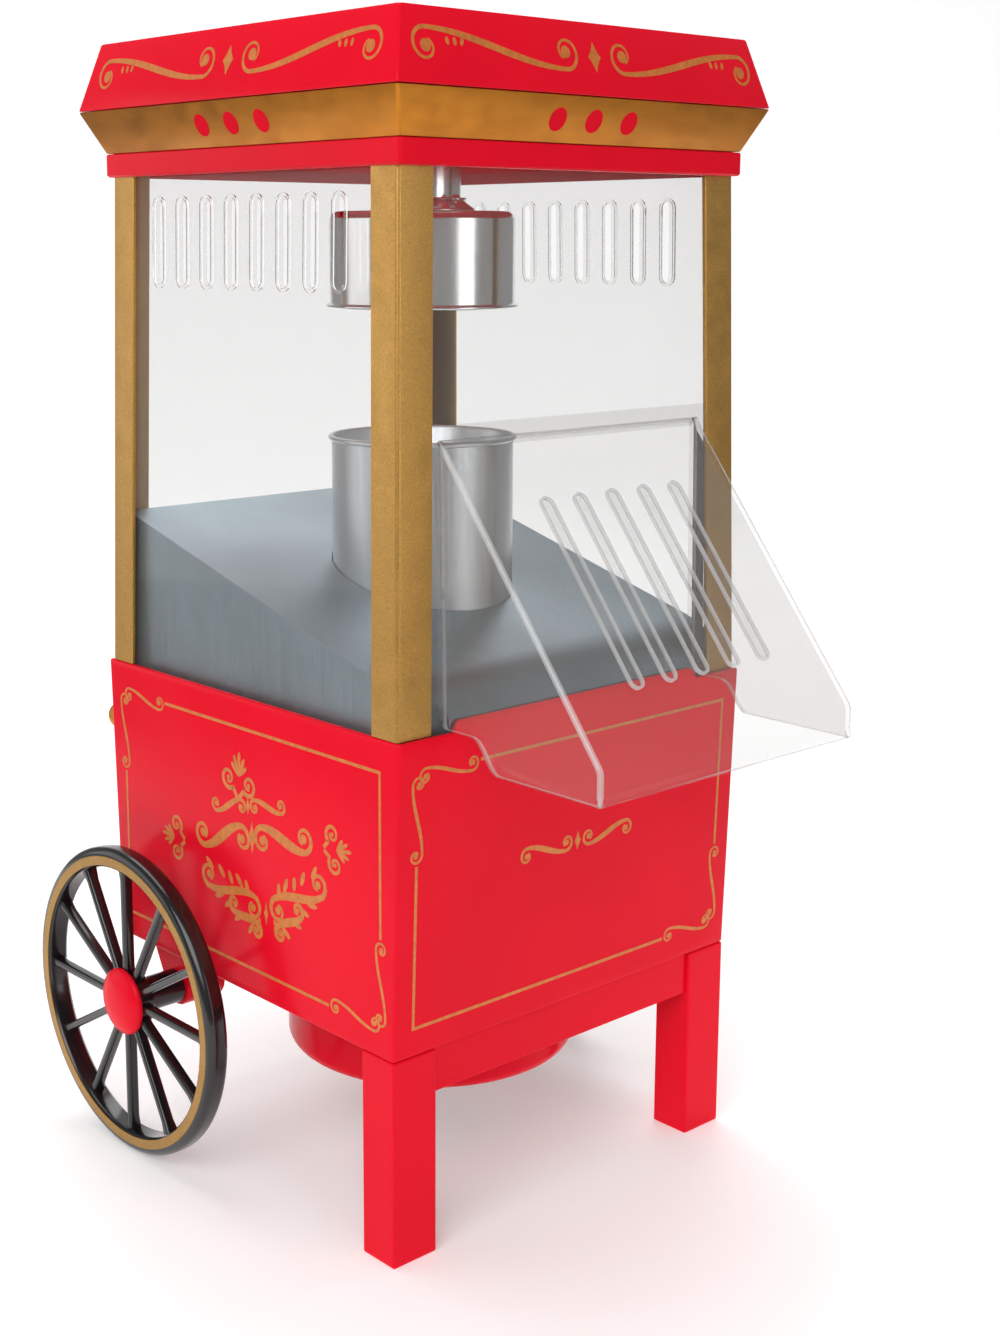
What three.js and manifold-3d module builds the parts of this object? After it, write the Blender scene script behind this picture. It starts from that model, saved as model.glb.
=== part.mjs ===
// A tabletop hot-air popcorn maker shaped like a street cart.
// Units are millimetres, +Z is up, the popcorn leaves at the front, towards -Y.
import * as THREE from "three";
import { mergeVertices } from "three/addons/utils/BufferGeometryUtils.js";
import Module from "manifold-3d";

const wasm = await Module();
wasm.setup();

// ---------------------------------------------------------------- driving dimensions
const GAP = 0.3; // between two pieces that rest on or fit round each other

// Flat sides that stand for a full turn on large, middling and small round pieces.
const SIDES_LARGE = 32;
const SIDES_MIDDLE = 24;
const SIDES_SMALL = 12;

// Heights of the stack, from the table up.
const WHEEL_RADIUS = 67.6;
const LEG_HEIGHT = WHEEL_RADIUS + 17.4; // the cabinet stands clear of the wheel's hub
const CABINET_HEIGHT = 125;
const WINDOW_HEIGHT = 206.2;
const BAND_HEIGHT = 9.7;
const CORNICE_HEIGHT = 17.1;
const ROOF_HEIGHT = 27;

const CABINET_BOTTOM = LEG_HEIGHT;
const CABINET_TOP = CABINET_BOTTOM + CABINET_HEIGHT;
const BAND_BOTTOM = CABINET_TOP + WINDOW_HEIGHT;
const CORNICE_BOTTOM = BAND_BOTTOM + BAND_HEIGHT;
const RIDGE = CORNICE_BOTTOM + CORNICE_HEIGHT;
const ROOF_TOP = RIDGE + ROOF_HEIGHT;

// Half widths (X) and half depths (Y) of the upright, slightly tapered boxes.
const WINDOW_HALF_WIDTH = 95.3; // outside of the corner posts at their foot
const WINDOW_HALF_DEPTH = 95.6;
const WINDOW_TAPER_X = 4.8; // how far each side leans in over the window height
const WINDOW_TAPER_Y = 4.3;
const CABINET_LEDGE_X = 0.7; // how far the cabinet's rim stands outside the posts
const CABINET_LEDGE_Y = 2.2;
const CABINET_HALF_WIDTH = WINDOW_HALF_WIDTH + CABINET_LEDGE_X;
const CABINET_HALF_DEPTH = WINDOW_HALF_DEPTH + CABINET_LEDGE_Y;
const CABINET_TAPER_Y = 4.2; // the cabinet's front and back lean in towards the floor
const BAND_LEDGE_X = 1.6; // how far the canopy's lower band stands outside the posts
const BAND_LEDGE_Y = 3.1;
const RIDGE_OVERHANG = 7.8; // from the lower band out to the cornice's ridge
const ROOF_SLOPE = 7.4; // how far the roof's sides lean in above the ridge

// Walls.
const CABINET_WALL = 2.2;
const WINDOW_WALL = 2.2;
const POST_WALL = 1.5;
const CANOPY_WALL = 2.2;
const CHUTE_WALL = 2.2;
const SHEET_METAL = 1.2;

// Corner posts: width seen from the front and from the side.
const POST_FRONT_WIDTH = 17;
const POST_SIDE_WIDTH = 15;
const SEAT_DEPTH = 4.8; // how far the window housing reaches up into the canopy

// Window vents, a row on each side.
const VENT_COUNT = 8;
const VENT_PITCH = 16.7;
const VENT_WIDTH = 6;
const VENT_HEIGHT = 34.5;
const VENT_TOP_BELOW_BAND = 9.3;

// The air column: kettle, popping chamber, heater, fan and motor share one upright axis.
const AXIS_Y = -1.5;
const KETTLE_RADIUS = 38.7;
const KETTLE_HEIGHT = 39.3;
const KETTLE_TOP_BELOW_BAND = 14;
const KETTLE_RIM = 1.6;
const TUBE_RADIUS = 16;
const CAP_RADIUS = 24;
const CAP_DEPTH = 20;
const CAP_RIM = 5;
const CHAMBER_RADIUS = 38.5;
const CHAMBER_HEIGHT = 110;
const CHAMBER_FLOOR_BELOW_TOP = 10; // chamber floor below the cabinet's top edge
const CHAMBER_VENTS = 10;
const HEATER_RADIUS = CHAMBER_RADIUS + 3;
const GUIDE_RISE = 24.7; // from the fan's top up to where the air guide meets the heater
const HEATER_WIRE = 0.8;
const HEATER_TURNS = 5;
const HEATER_STEPS = 8; // straight runs in a turn, with a corner at each edge of the plates
const FAN_HEIGHT = 16;
const FAN_BLADES = 12;
const SHAFT_RADIUS = 2;
const MOTOR_RADIUS = 20;
const MOTOR_HEIGHT = 36;

// Ramp that the popcorn slides down.
const RAMP_REAR_HEIGHT = 65.8; // above the cabinet's top edge, at the back window
const RAMP_SLOPE = 0.275;
const RAMP_LIP_HEIGHT = 4.6; // where it ends, above the cabinet's top edge
const RAMP_BEND = 22; // length in Y of the rounded end of the ramp

// Chute hood on the front window.
const CHUTE_HALF_WIDTH = WINDOW_HALF_WIDTH - POST_FRONT_WIDTH - 6.6;
const CHUTE_TOP = 109; // above the cabinet's top edge
const CHUTE_REACH = 80.8; // from the window's face out to the lip
const CHUTE_LIP_TOP = 1.9;
const CHUTE_LIP_BOTTOM = -11;
const CHUTE_SILL_REACH = 12.2; // the hood's foot clears the cabinet's rim this far out from it
const CHUTE_FLANGE = 5.5;
const CHUTE_RIBS = 5;
const CHUTE_RIB_PITCH = 17.8;
const CHUTE_RIB_WIDTH = 7;
const CHUTE_RIB_HEIGHT = 1.4;

// Legs, wheels and axle.
const LEG_WIDTH = 22;
const LEG_DEPTH = 18.8;
const APRON_HEIGHT = 18.7;
const APRON_THICKNESS = 3;
const APRON_SETBACK = 2;
const WHEEL_WIDTH = 10;
const WHEEL_CLEARANCE = 13.2; // between the cabinet's side and the wheel
const WHEEL_OUTER_X = CABINET_HALF_WIDTH + WHEEL_CLEARANCE + WHEEL_WIDTH;
const WHEEL_Y = CABINET_HALF_DEPTH - 36.9;
const RIM_DEPTH = 8.6;
const RING_RADIUS = WHEEL_RADIUS - 3.5;
const RING_WIDTH = 4.1;
const SPOKES = 12;
const SPOKE_WIDTH = 3.6;
const SPOKE_DEPTH = 5;
const HUB_RADIUS = 12.5;
const HUB_CAP_RADIUS = 14.5;
const HUB_CAP_HEIGHT = 5.2;
const AXLE_RADIUS = 3;
const BRACKET_WIDTH = 20;
const BRACKET_DEPTH = 36;

// The intake drum under the cabinet reaches back almost to the axle. The fan sits over it.
const DRUM_Y = AXIS_Y - 5.5;
const DRUM_TO_AXLE = 1.4;
const DRUM_RADIUS = WHEEL_Y - AXLE_RADIUS - DRUM_TO_AXLE - DRUM_Y;
const DRUM_DROP = LEG_HEIGHT / 2;
const DRUM_WALL = 2;
const INTAKE_RADIUS = DRUM_RADIUS - 17.5;
const FAN_RADIUS = DRUM_RADIUS - 15.5;

// Rear fittings.
const HANDLE_RADIUS = 6.3;
const HANDLE_HALF_LENGTH = CABINET_HALF_WIDTH - 11;
const HANDLE_REACH = 19.5; // bar centre behind the cabinet's back
const HANDLE_BELOW_TOP = 32;
const HANDLE_POST_X = HANDLE_HALF_LENGTH - 25;
const HANDLE_POST_RADIUS = 4.2;
const SWITCH_X = 44 - CABINET_HALF_WIDTH;
const SWITCH_Z = CABINET_BOTTOM + 40;
const SWITCH_WIDTH = 14;
const SWITCH_HEIGHT = 22;
const SWITCH_TILT = THREE.MathUtils.degToRad(8);
const GLAND_X = -SWITCH_X;
const GLAND_Z = CABINET_BOTTOM + 23;
const GLAND_BORE = 3.3;
const FLOOR_THICKNESS = 2.5;
const SCREW_X = CABINET_HALF_WIDTH - 36;
const SCREW_Y = CABINET_HALF_DEPTH - 22.8;
const SCREW_RADIUS = 1.7;
const SCREW_HEAD_RADIUS = 3.4;

// ---------------------------------------------------------------- shaping helpers

// A closed three.js geometry as a manifold-3d solid with its faces outwards.
function solid(geometry) {
  const bare = geometry.clone();
  bare.deleteAttribute("normal");
  bare.deleteAttribute("uv");
  const merged = mergeVertices(bare, 1e-4);
  const triVerts = new Uint32Array(merged.index.array);
  const make = () => {
    const vertProperties = new Float32Array(merged.attributes.position.array);
    return new wasm.Manifold(new wasm.Mesh({ numProp: 3, vertProperties, triVerts }));
  };
  const made = make();
  if (made.volume() > 0) return made;
  for (let i = 0; i < triVerts.length; i += 3) {
    [triVerts[i + 1], triVerts[i + 2]] = [triVerts[i + 2], triVerts[i + 1]];
  }
  return make();
}

const cut = (body, ...tools) => tools.reduce((a, b) => a.subtract(b), body);
const join = (...bodies) => bodies.reduce((a, b) => a.add(b));

// A manifold-3d solid back as a three.js geometry.
function geometryOf(body) {
  const mesh = body.getMesh();
  const positions = new Float32Array(mesh.numVert * 3);
  for (let i = 0; i < mesh.numVert; i++) {
    const start = i * mesh.numProp;
    positions.set(mesh.vertProperties.subarray(start, start + 3), i * 3);
  }
  const geometry = new THREE.BufferGeometry();
  geometry.setAttribute("position", new THREE.BufferAttribute(positions, 3));
  geometry.setIndex(new THREE.BufferAttribute(new Uint32Array(mesh.triVerts), 1));
  geometry.computeVertexNormals();
  return geometry;
}

// A box from its lowest and highest corner.
function block([x0, y0, z0], [x1, y1, z1]) {
  const geometry = new THREE.BoxGeometry(x1 - x0, y1 - y0, z1 - z0);
  return solid(geometry.translate((x0 + x1) / 2, (y0 + y1) / 2, (z0 + z1) / 2));
}

const rectangle = ([halfX, halfY]) => [
  [-halfX, -halfY],
  [halfX, -halfY],
  [halfX, halfY],
  [-halfX, halfY],
];

// A solid through level outlines, [height, points], all with as many points.
function loft(given) {
  const first = given[0][1].map(([x, y]) => new THREE.Vector2(x, y));
  const clockwise = THREE.ShapeUtils.area(first) < 0;
  const levels = given.map(([z, points]) => [z, clockwise ? [...points].reverse() : points]);
  const count = first.length;
  const positions = levels.flatMap(([z, points]) => points.flatMap(([x, y]) => [x, y, z]));
  const contour = levels[0][1].map(([x, y]) => new THREE.Vector2(x, y));
  const cap = THREE.ShapeUtils.triangulateShape(contour, []);
  const index = cap.flatMap(([a, b, c]) => [a, c, b]);
  for (let level = 0; level + 1 < levels.length; level++) {
    for (let i = 0; i < count; i++) {
      const a = level * count + i;
      const b = level * count + ((i + 1) % count);
      index.push(a, b, b + count, a, b + count, a + count);
    }
  }
  const last = (levels.length - 1) * count;
  cap.forEach(([a, b, c]) => index.push(a + last, b + last, c + last));
  const geometry = new THREE.BufferGeometry();
  geometry.setAttribute("position", new THREE.Float32BufferAttribute(positions, 3));
  return solid(geometry.setIndex(index));
}

// A side view outline, [y, z], carried along X from x0 to x1.
function acrossX(points, x0, x1) {
  const shape = new THREE.Shape(points.map(([y, z]) => new THREE.Vector2(y, z)));
  const geometry = new THREE.ExtrudeGeometry(shape, { depth: x1 - x0, bevelEnabled: false });
  const turn = new THREE.Matrix4().makeBasis(
    new THREE.Vector3(0, 1, 0),
    new THREE.Vector3(0, 0, 1),
    new THREE.Vector3(1, 0, 0),
  );
  return solid(geometry.applyMatrix4(turn).translate(x0, 0, 0));
}

// A profile of [radius, height] turned round the upright axis through (x, y).
function turned(profile, segments, x = 0, y = 0) {
  const points = profile.map(([r, h]) => new THREE.Vector2(r, h));
  const geometry = new THREE.LatheGeometry(points, segments);
  return solid(geometry.rotateX(Math.PI / 2).translate(x, y, 0));
}

// The same, turned round an axis along X (height becomes x) or along Y (height becomes y).
function turnedAlongX(profile, segments, y, z) {
  const points = profile.map(([r, h]) => new THREE.Vector2(r, h));
  const geometry = new THREE.LatheGeometry(points, segments);
  return solid(geometry.rotateZ(-Math.PI / 2).translate(0, y, z));
}

function turnedAlongY(profile, segments, x, z) {
  const points = profile.map(([r, h]) => new THREE.Vector2(r, h));
  return solid(new THREE.LatheGeometry(points, segments).translate(x, 0, z));
}

const rod = (radius, from, to) => [
  [0, from],
  [radius, from],
  [radius, to],
  [0, to],
];

const ring = (inner, outer, from, to) => [
  [inner, from],
  [outer, from],
  [outer, to],
  [inner, to],
  [inner, from],
];

// Points of an arc about (cx, cy), both ends included.
function arc(cx, cy, radius, from, to, steps) {
  return Array.from({ length: steps + 1 }, (_, i) => {
    const angle = from + ((to - from) * i) / steps;
    return [cx + radius * Math.cos(angle), cy + radius * Math.sin(angle)];
  });
}

// ---------------------------------------------------------------- outer shape

// Half sizes of the window box, outside of the posts, at height z.
function windowHalf(z) {
  const share = (z - CABINET_TOP) / WINDOW_HEIGHT;
  return [WINDOW_HALF_WIDTH - share * WINDOW_TAPER_X, WINDOW_HALF_DEPTH - share * WINDOW_TAPER_Y];
}

const inset = ([x, y], amount) => [x - amount, y - amount];

const GLASS_INSET = POST_WALL + GAP;
const glassHalf = (z) => inset(windowHalf(z), GLASS_INSET);
const glassFront = (z) => -glassHalf(z)[1];

function cabinetHalf(z) {
  const share = (CABINET_TOP - z) / CABINET_HEIGHT;
  return [CABINET_HALF_WIDTH, CABINET_HALF_DEPTH - share * CABINET_TAPER_Y];
}

const bandHalf = [
  windowHalf(BAND_BOTTOM)[0] + BAND_LEDGE_X,
  windowHalf(BAND_BOTTOM)[1] + BAND_LEDGE_Y,
];
const ridgeHalf = inset(bandHalf, -RIDGE_OVERHANG);
const roofHalf = inset(ridgeHalf, ROOF_SLOPE);

const HOUSING_TOP = BAND_BOTTOM + SEAT_DEPTH;
const LEDGE_TOP = CABINET_TOP - 5; // ledge inside the cabinet that carries ramp and housing
const HOUSING_BOTTOM = LEDGE_TOP + GAP;
const CHUTE_INNER_HALF = CHUTE_HALF_WIDTH - CHUTE_WALL;

const FLOOR_TOP = CABINET_BOTTOM + FLOOR_THICKNESS;
const DRUM_BOTTOM = CABINET_BOTTOM - DRUM_DROP;
const AXLE_Z = WHEEL_RADIUS;

// ---------------------------------------------------------------- cabinet and underside

const SILL_HEIGHT = RAMP_LIP_HEIGHT - GAP;
const SILL_HALF = CHUTE_INNER_HALF - 1.2;
const SILL_SHOULDER = 3.5;

// The red cabinet: tapered walls, an inner ledge, screw blocks, and the raised sill at the front.
function cabinetShell() {
  const levels = [CABINET_BOTTOM, CABINET_TOP];
  const outside = loft(levels.map((z) => [z, rectangle(cabinetHalf(z))]));
  const hollow = [CABINET_BOTTOM - 1, CABINET_TOP + 1];
  const inside = loft(hollow.map((z) => [z, rectangle(inset(cabinetHalf(z), CABINET_WALL))]));
  const ledgeHalf = inset(cabinetHalf(LEDGE_TOP), CABINET_WALL / 2);
  const ledge = cut(
    loft([LEDGE_TOP - 2, LEDGE_TOP].map((z) => [z, rectangle(ledgeHalf)])),
    loft([LEDGE_TOP - 3, LEDGE_TOP + 1].map((z) => [z, rectangle(inset(glassHalf(CABINET_TOP), 8))])),
  );
  const blocks = [-1, 1].flatMap((sx) =>
    [-1, 1].map((sy) => {
      const wallY = cabinetHalf(FLOOR_TOP)[1] - CABINET_WALL / 2;
      const near = SCREW_Y - 5;
      const [y0, y1] = sy < 0 ? [-wallY, -near] : [near, wallY];
      const z0 = FLOOR_TOP + GAP;
      const body = block([sx * SCREW_X - 5, y0, z0], [sx * SCREW_X + 5, y1, z0 + 16]);
      const hole = rod(SCREW_RADIUS + GAP, FLOOR_TOP, z0 + 12);
      return cut(body, turned(hole, 8, sx * SCREW_X, sy * SCREW_Y));
    }),
  );
  const sillTop = CABINET_TOP + SILL_HEIGHT;
  const sillShape = [
    [-SILL_HALF, CABINET_TOP - 1],
    [SILL_HALF, CABINET_TOP - 1],
    ...arc(SILL_HALF - SILL_SHOULDER, sillTop - SILL_SHOULDER, SILL_SHOULDER, 0, Math.PI / 2, 4),
    ...arc(SILL_SHOULDER - SILL_HALF, sillTop - SILL_SHOULDER, SILL_SHOULDER, Math.PI / 2, Math.PI, 4),
  ];
  const shape = new THREE.Shape(sillShape.map(([x, z]) => new THREE.Vector2(x, z)));
  const sillGeometry = new THREE.ExtrudeGeometry(shape, { depth: CABINET_WALL, bevelEnabled: false });
  const sill = solid(sillGeometry.rotateX(Math.PI / 2).translate(0, CABINET_WALL - CABINET_HALF_DEPTH, 0));
  return cut(
    join(cut(outside, inside), ledge, ...blocks, sill),
    block(...switchHole()),
    turnedAlongY(rod(glandNeck() + GAP, 0, CABINET_HALF_DEPTH + 5), SIDES_SMALL, GLAND_X, GLAND_Z),
  );
}

// The flat floor plate, screwed up into the cabinet, with the hole that the drum hangs in.
function cabinetFloor() {
  const half = inset(cabinetHalf(CABINET_BOTTOM), CABINET_WALL + GAP);
  let plate = loft([CABINET_BOTTOM, FLOOR_TOP].map((z) => [z, rectangle(half)]));
  const below = CABINET_BOTTOM - 1;
  plate = cut(plate, turned(rod(DRUM_RADIUS + GAP, below, FLOOR_TOP + 1), SIDES_LARGE, 0, DRUM_Y));
  for (const sx of [-1, 1]) {
    for (const sy of [-1, 1]) {
      const hole = rod(SCREW_RADIUS + GAP, below, FLOOR_TOP + 1);
      plate = cut(plate, turned(hole, 8, sx * SCREW_X, sy * SCREW_Y));
    }
  }
  return plate;
}

// One screw from below through the floor into a block of the cabinet.
function floorScrew(sx, sy) {
  const headTop = CABINET_BOTTOM - GAP;
  const profile = [
    [0, headTop - 1.8],
    [SCREW_HEAD_RADIUS - 0.7, headTop - 1.8],
    [SCREW_HEAD_RADIUS, headTop - 0.9],
    [SCREW_HEAD_RADIUS, headTop],
    [SCREW_RADIUS, headTop],
    [SCREW_RADIUS, FLOOR_TOP + 9],
    [0, FLOOR_TOP + 10.5],
  ];
  return turned(profile, 8, sx * SCREW_X, sy * SCREW_Y);
}

const DRUM_FLANGE_TOP = FLOOR_TOP + GAP + 2.3;

// The round drum that hangs through the floor, open in the middle of its bottom.
function blowerDrum() {
  const corner = 6;
  const outer = arc(DRUM_RADIUS - corner, DRUM_BOTTOM + corner, corner, -Math.PI / 2, 0, 3);
  const inner = arc(
    DRUM_RADIUS - corner,
    DRUM_BOTTOM + corner,
    corner - DRUM_WALL,
    0,
    -Math.PI / 2,
    2,
  );
  const profile = [
    [INTAKE_RADIUS, DRUM_BOTTOM],
    ...outer,
    [DRUM_RADIUS, FLOOR_TOP + GAP],
    [DRUM_RADIUS + 5, FLOOR_TOP + GAP],
    [DRUM_RADIUS + 5, DRUM_FLANGE_TOP],
    [DRUM_RADIUS - DRUM_WALL, DRUM_FLANGE_TOP],
    ...inner,
    [INTAKE_RADIUS, DRUM_BOTTOM + DRUM_WALL],
    [INTAKE_RADIUS, DRUM_BOTTOM],
  ];
  return turned(profile, SIDES_LARGE, 0, DRUM_Y);
}

// The slotted disc that keeps fingers out of the intake. Its rim lies on the drum's bottom ring.
function intakeGrille() {
  const top = DRUM_BOTTOM + DRUM_WALL + GAP + 2;
  const profile = [
    [0, DRUM_BOTTOM + 0.6],
    [INTAKE_RADIUS - GAP, DRUM_BOTTOM + 0.6],
    [INTAKE_RADIUS - GAP, DRUM_BOTTOM + DRUM_WALL + GAP],
    [INTAKE_RADIUS + 4, DRUM_BOTTOM + DRUM_WALL + GAP],
    [INTAKE_RADIUS + 4, top],
    [0, top],
  ];
  let disc = turned(profile, SIDES_MIDDLE, 0, DRUM_Y);
  const pitch = (INTAKE_RADIUS - 1) / 5;
  for (let i = -4; i <= 4; i++) {
    const half = Math.sqrt((INTAKE_RADIUS - 5) ** 2 - (i * pitch) ** 2);
    const low = [i * pitch - 2.2, DRUM_Y - half, DRUM_BOTTOM - 1];
    disc = cut(disc, block(low, [i * pitch + 2.2, DRUM_Y + half, top + 1]));
  }
  return disc;
}

// A square front leg, flush with the cabinet's corner.
function frontLeg(side) {
  const [halfX, halfY] = cabinetHalf(CABINET_BOTTOM);
  const outer = side * halfX;
  const inner = side * (halfX - LEG_WIDTH);
  const low = [Math.min(outer, inner), -halfY, 0];
  return block(low, [Math.max(outer, inner), LEG_DEPTH - halfY, CABINET_BOTTOM - GAP]);
}

// The panel under the cabinet between the two front legs.
function frontApron() {
  const [halfX, halfY] = cabinetHalf(CABINET_BOTTOM);
  const half = halfX - LEG_WIDTH - GAP;
  const front = APRON_SETBACK - halfY;
  const top = CABINET_BOTTOM - GAP;
  return block([-half, front, top - APRON_HEIGHT], [half, front + APRON_THICKNESS, top]);
}

// ---------------------------------------------------------------- axle and wheels

const WHEEL_INNER_X = WHEEL_OUTER_X - WHEEL_WIDTH;
const BRACKET_OUTER_X = CABINET_HALF_WIDTH - 6;
const HUB_OUTER_X = WHEEL_OUTER_X - 2.7;

// A rear bracket: a block under the floor, round at the bottom, bored for the axle.
function axleBracket(side) {
  const half = BRACKET_DEPTH / 2;
  const foot = AXLE_RADIUS + 6;
  const outline = [
    [WHEEL_Y - half, CABINET_BOTTOM - GAP],
    ...arc(WHEEL_Y, AXLE_Z, foot, Math.PI, 2 * Math.PI, 8),
    [WHEEL_Y + half, CABINET_BOTTOM - GAP],
  ];
  const x0 = side < 0 ? -BRACKET_OUTER_X : BRACKET_OUTER_X - BRACKET_WIDTH;
  const x1 = x0 + BRACKET_WIDTH;
  const bore = rod(AXLE_RADIUS + GAP, x0 - 1, x1 + 1);
  return cut(acrossX(outline, x0, x1), turnedAlongX(bore, SIDES_SMALL, WHEEL_Y, AXLE_Z));
}

function axle() {
  const end = HUB_OUTER_X - 1;
  return turnedAlongX(rod(AXLE_RADIUS, -end, end), SIDES_SMALL, WHEEL_Y, AXLE_Z);
}

// A spoked wheel for the +X side. Its hub reaches in to the bracket.
function wheel() {
  const x0 = WHEEL_INNER_X;
  const x1 = WHEEL_OUTER_X;
  const inner = WHEEL_RADIUS - RIM_DEPTH;
  const crown = 2;
  const groove = 1;
  const rim = turned(
    [
      [inner, x0 + 1],
      [inner + 1, x0],
      [WHEEL_RADIUS - crown, x0],
      [WHEEL_RADIUS, x0 + crown],
      [WHEEL_RADIUS, x1 - crown],
      [WHEEL_RADIUS - crown, x1],
      [RING_RADIUS + GAP, x1],
      [RING_RADIUS + GAP, x1 - groove],
      [RING_RADIUS - RING_WIDTH - GAP, x1 - groove],
      [RING_RADIUS - RING_WIDTH - GAP, x1],
      [inner, x1 - 1],
      [inner, x0 + 1],
    ],
    SIDES_LARGE,
  );
  const hub = turned(rod(HUB_RADIUS, x0, HUB_OUTER_X), SIDES_SMALL);
  const boss = turned(rod(AXLE_RADIUS + 4.5, BRACKET_OUTER_X + GAP, x0 + 1), SIDES_SMALL);
  const middle = (x0 + x1) / 2;
  const spokes = Array.from({ length: SPOKES / 2 }, (_, i) => {
    const bar = new THREE.BoxGeometry(2 * inner + 2, SPOKE_WIDTH, SPOKE_DEPTH);
    return solid(bar.rotateZ((i * 2 * Math.PI) / SPOKES).translate(0, 0, middle));
  });
  const bore = turned(rod(AXLE_RADIUS + GAP, 0, HUB_OUTER_X + 1), SIDES_SMALL);
  return cut(join(rim, hub, boss, ...spokes), bore);
}

const wheelRing = () =>
  turned(ring(RING_RADIUS - RING_WIDTH, RING_RADIUS, WHEEL_OUTER_X - 0.7, WHEEL_OUTER_X + 0.2), SIDES_LARGE);

function hubCap() {
  const from = HUB_OUTER_X + GAP;
  const rise = Array.from({ length: 5 }, (_, i) => {
    const angle = (i / 4) * (Math.PI / 2);
    return [HUB_CAP_RADIUS * Math.cos(angle), from + 1.6 + (HUB_CAP_HEIGHT - 1.6) * Math.sin(angle)];
  });
  rise[4][0] = 0;
  return turned([[0, from], [HUB_CAP_RADIUS, from], ...rise], SIDES_MIDDLE);
}

// Turns a piece made about the upright axis on to the axle, on the right (+1) or left (-1).
function onAxle(geometry, side) {
  return geometry.rotateY((side * Math.PI) / 2).translate(0, WHEEL_Y, AXLE_Z);
}

// ---------------------------------------------------------------- motor, fan and heater

const BRACKET_BOTTOM = DRUM_FLANGE_TOP + GAP;
const BRACKET_TOP = BRACKET_BOTTOM + 2;
const GUIDE_BOTTOM = BRACKET_TOP + GAP;
const FAN_BOTTOM = GUIDE_BOTTOM + 4;
const FAN_TOP = FAN_BOTTOM + FAN_HEIGHT;
const CHAMBER_BOTTOM = CABINET_TOP - CHAMBER_FLOOR_BELOW_TOP;
const GUIDE_TOP = FAN_TOP + GUIDE_RISE;
const HEATER_BOTTOM = GUIDE_TOP + GAP;
const HEATER_TOP = CHAMBER_BOTTOM - GAP;
const HEATER_HEIGHT = HEATER_TOP - HEATER_BOTTOM;
const CHAMBER_TOP = CHAMBER_BOTTOM + CHAMBER_HEIGHT;

// The strip across the drum that carries the motor.
function motorBracket() {
  const half = DRUM_RADIUS - 1;
  const strip = block([-half, AXIS_Y - 9, BRACKET_BOTTOM], [half, AXIS_Y + 9, BRACKET_TOP]);
  const plate = turned(rod(MOTOR_RADIUS + 4, BRACKET_BOTTOM, BRACKET_TOP), SIDES_MIDDLE, 0, AXIS_Y);
  const hole = turned(rod(SHAFT_RADIUS + 2, BRACKET_BOTTOM - 1, BRACKET_TOP + 1), SIDES_SMALL, 0, AXIS_Y);
  return cut(join(strip, plate), hole);
}

function motor() {
  const top = BRACKET_BOTTOM - GAP;
  const bottom = top - MOTOR_HEIGHT;
  const profile = [
    [0, bottom],
    [MOTOR_RADIUS / 3, bottom],
    [MOTOR_RADIUS / 3, bottom + 2],
    [MOTOR_RADIUS - 2, bottom + 2],
    [MOTOR_RADIUS, bottom + 4],
    [MOTOR_RADIUS, top],
    [SHAFT_RADIUS + GAP, top],
    [SHAFT_RADIUS + GAP, bottom + 8],
    [0, bottom + 8],
  ];
  return turned(profile, SIDES_MIDDLE, 0, AXIS_Y);
}

function fanShaft() {
  const foot = BRACKET_BOTTOM - MOTOR_HEIGHT + 8;
  return turned(rod(SHAFT_RADIUS, foot, FAN_TOP + 3), SIDES_SMALL, 0, AXIS_Y);
}

// The blower wheel: a backplate, a hub and backward-swept blades.
function fanImpeller() {
  const plate = turned(rod(FAN_RADIUS, FAN_BOTTOM, FAN_BOTTOM + 1.6), SIDES_MIDDLE);
  const hub = turned(rod(SHAFT_RADIUS + 6, FAN_BOTTOM, FAN_TOP), SIDES_SMALL);
  const bladeLength = FAN_RADIUS * 0.52;
  const sweep = THREE.MathUtils.degToRad(28);
  const blades = Array.from({ length: FAN_BLADES }, (_, i) => {
    const blade = new THREE.BoxGeometry(bladeLength, 1.4, FAN_HEIGHT);
    blade.rotateZ(sweep).translate(FAN_RADIUS * 0.71, 0, FAN_BOTTOM + FAN_HEIGHT / 2);
    return solid(blade.rotateZ((i * 2 * Math.PI) / FAN_BLADES));
  });
  const rim = turned(ring(FAN_RADIUS - 13, FAN_RADIUS, FAN_TOP - 1.2, FAN_TOP), SIDES_MIDDLE);
  const bore = turned(rod(SHAFT_RADIUS + GAP, FAN_BOTTOM - 1, FAN_TOP + 1), SIDES_SMALL);
  return cut(join(plate, hub, rim, ...blades), bore).translate([0, AXIS_Y, 0]);
}

// The shroud that turns the fan's air up into the heater.
function airGuide() {
  const wall = 1.6;
  const outer = FAN_RADIUS + 8;
  const shoulder = FAN_TOP + 4;
  const profile = [
    [outer - wall, GUIDE_BOTTOM],
    [outer + 5, GUIDE_BOTTOM],
    [outer + 5, GUIDE_BOTTOM + 2],
    [outer, GUIDE_BOTTOM + 2],
    [outer, shoulder],
    [HEATER_RADIUS, GUIDE_TOP - 4],
    [HEATER_RADIUS, GUIDE_TOP],
    [HEATER_RADIUS - wall, GUIDE_TOP],
    [HEATER_RADIUS - wall, GUIDE_TOP - 4.6],
    [outer - wall, shoulder - 0.6],
    [outer - wall, GUIDE_BOTTOM],
  ];
  return turned(profile, SIDES_MIDDLE, 0, AXIS_Y);
}

function heaterHousing() {
  const profile = ring(HEATER_RADIUS - SHEET_METAL, HEATER_RADIUS, HEATER_BOTTOM, HEATER_TOP);
  return turned(profile, SIDES_MIDDLE, 0, AXIS_Y);
}

const BOBBIN_HALF = HEATER_RADIUS - 11.5;
const MICA = 1;

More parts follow.
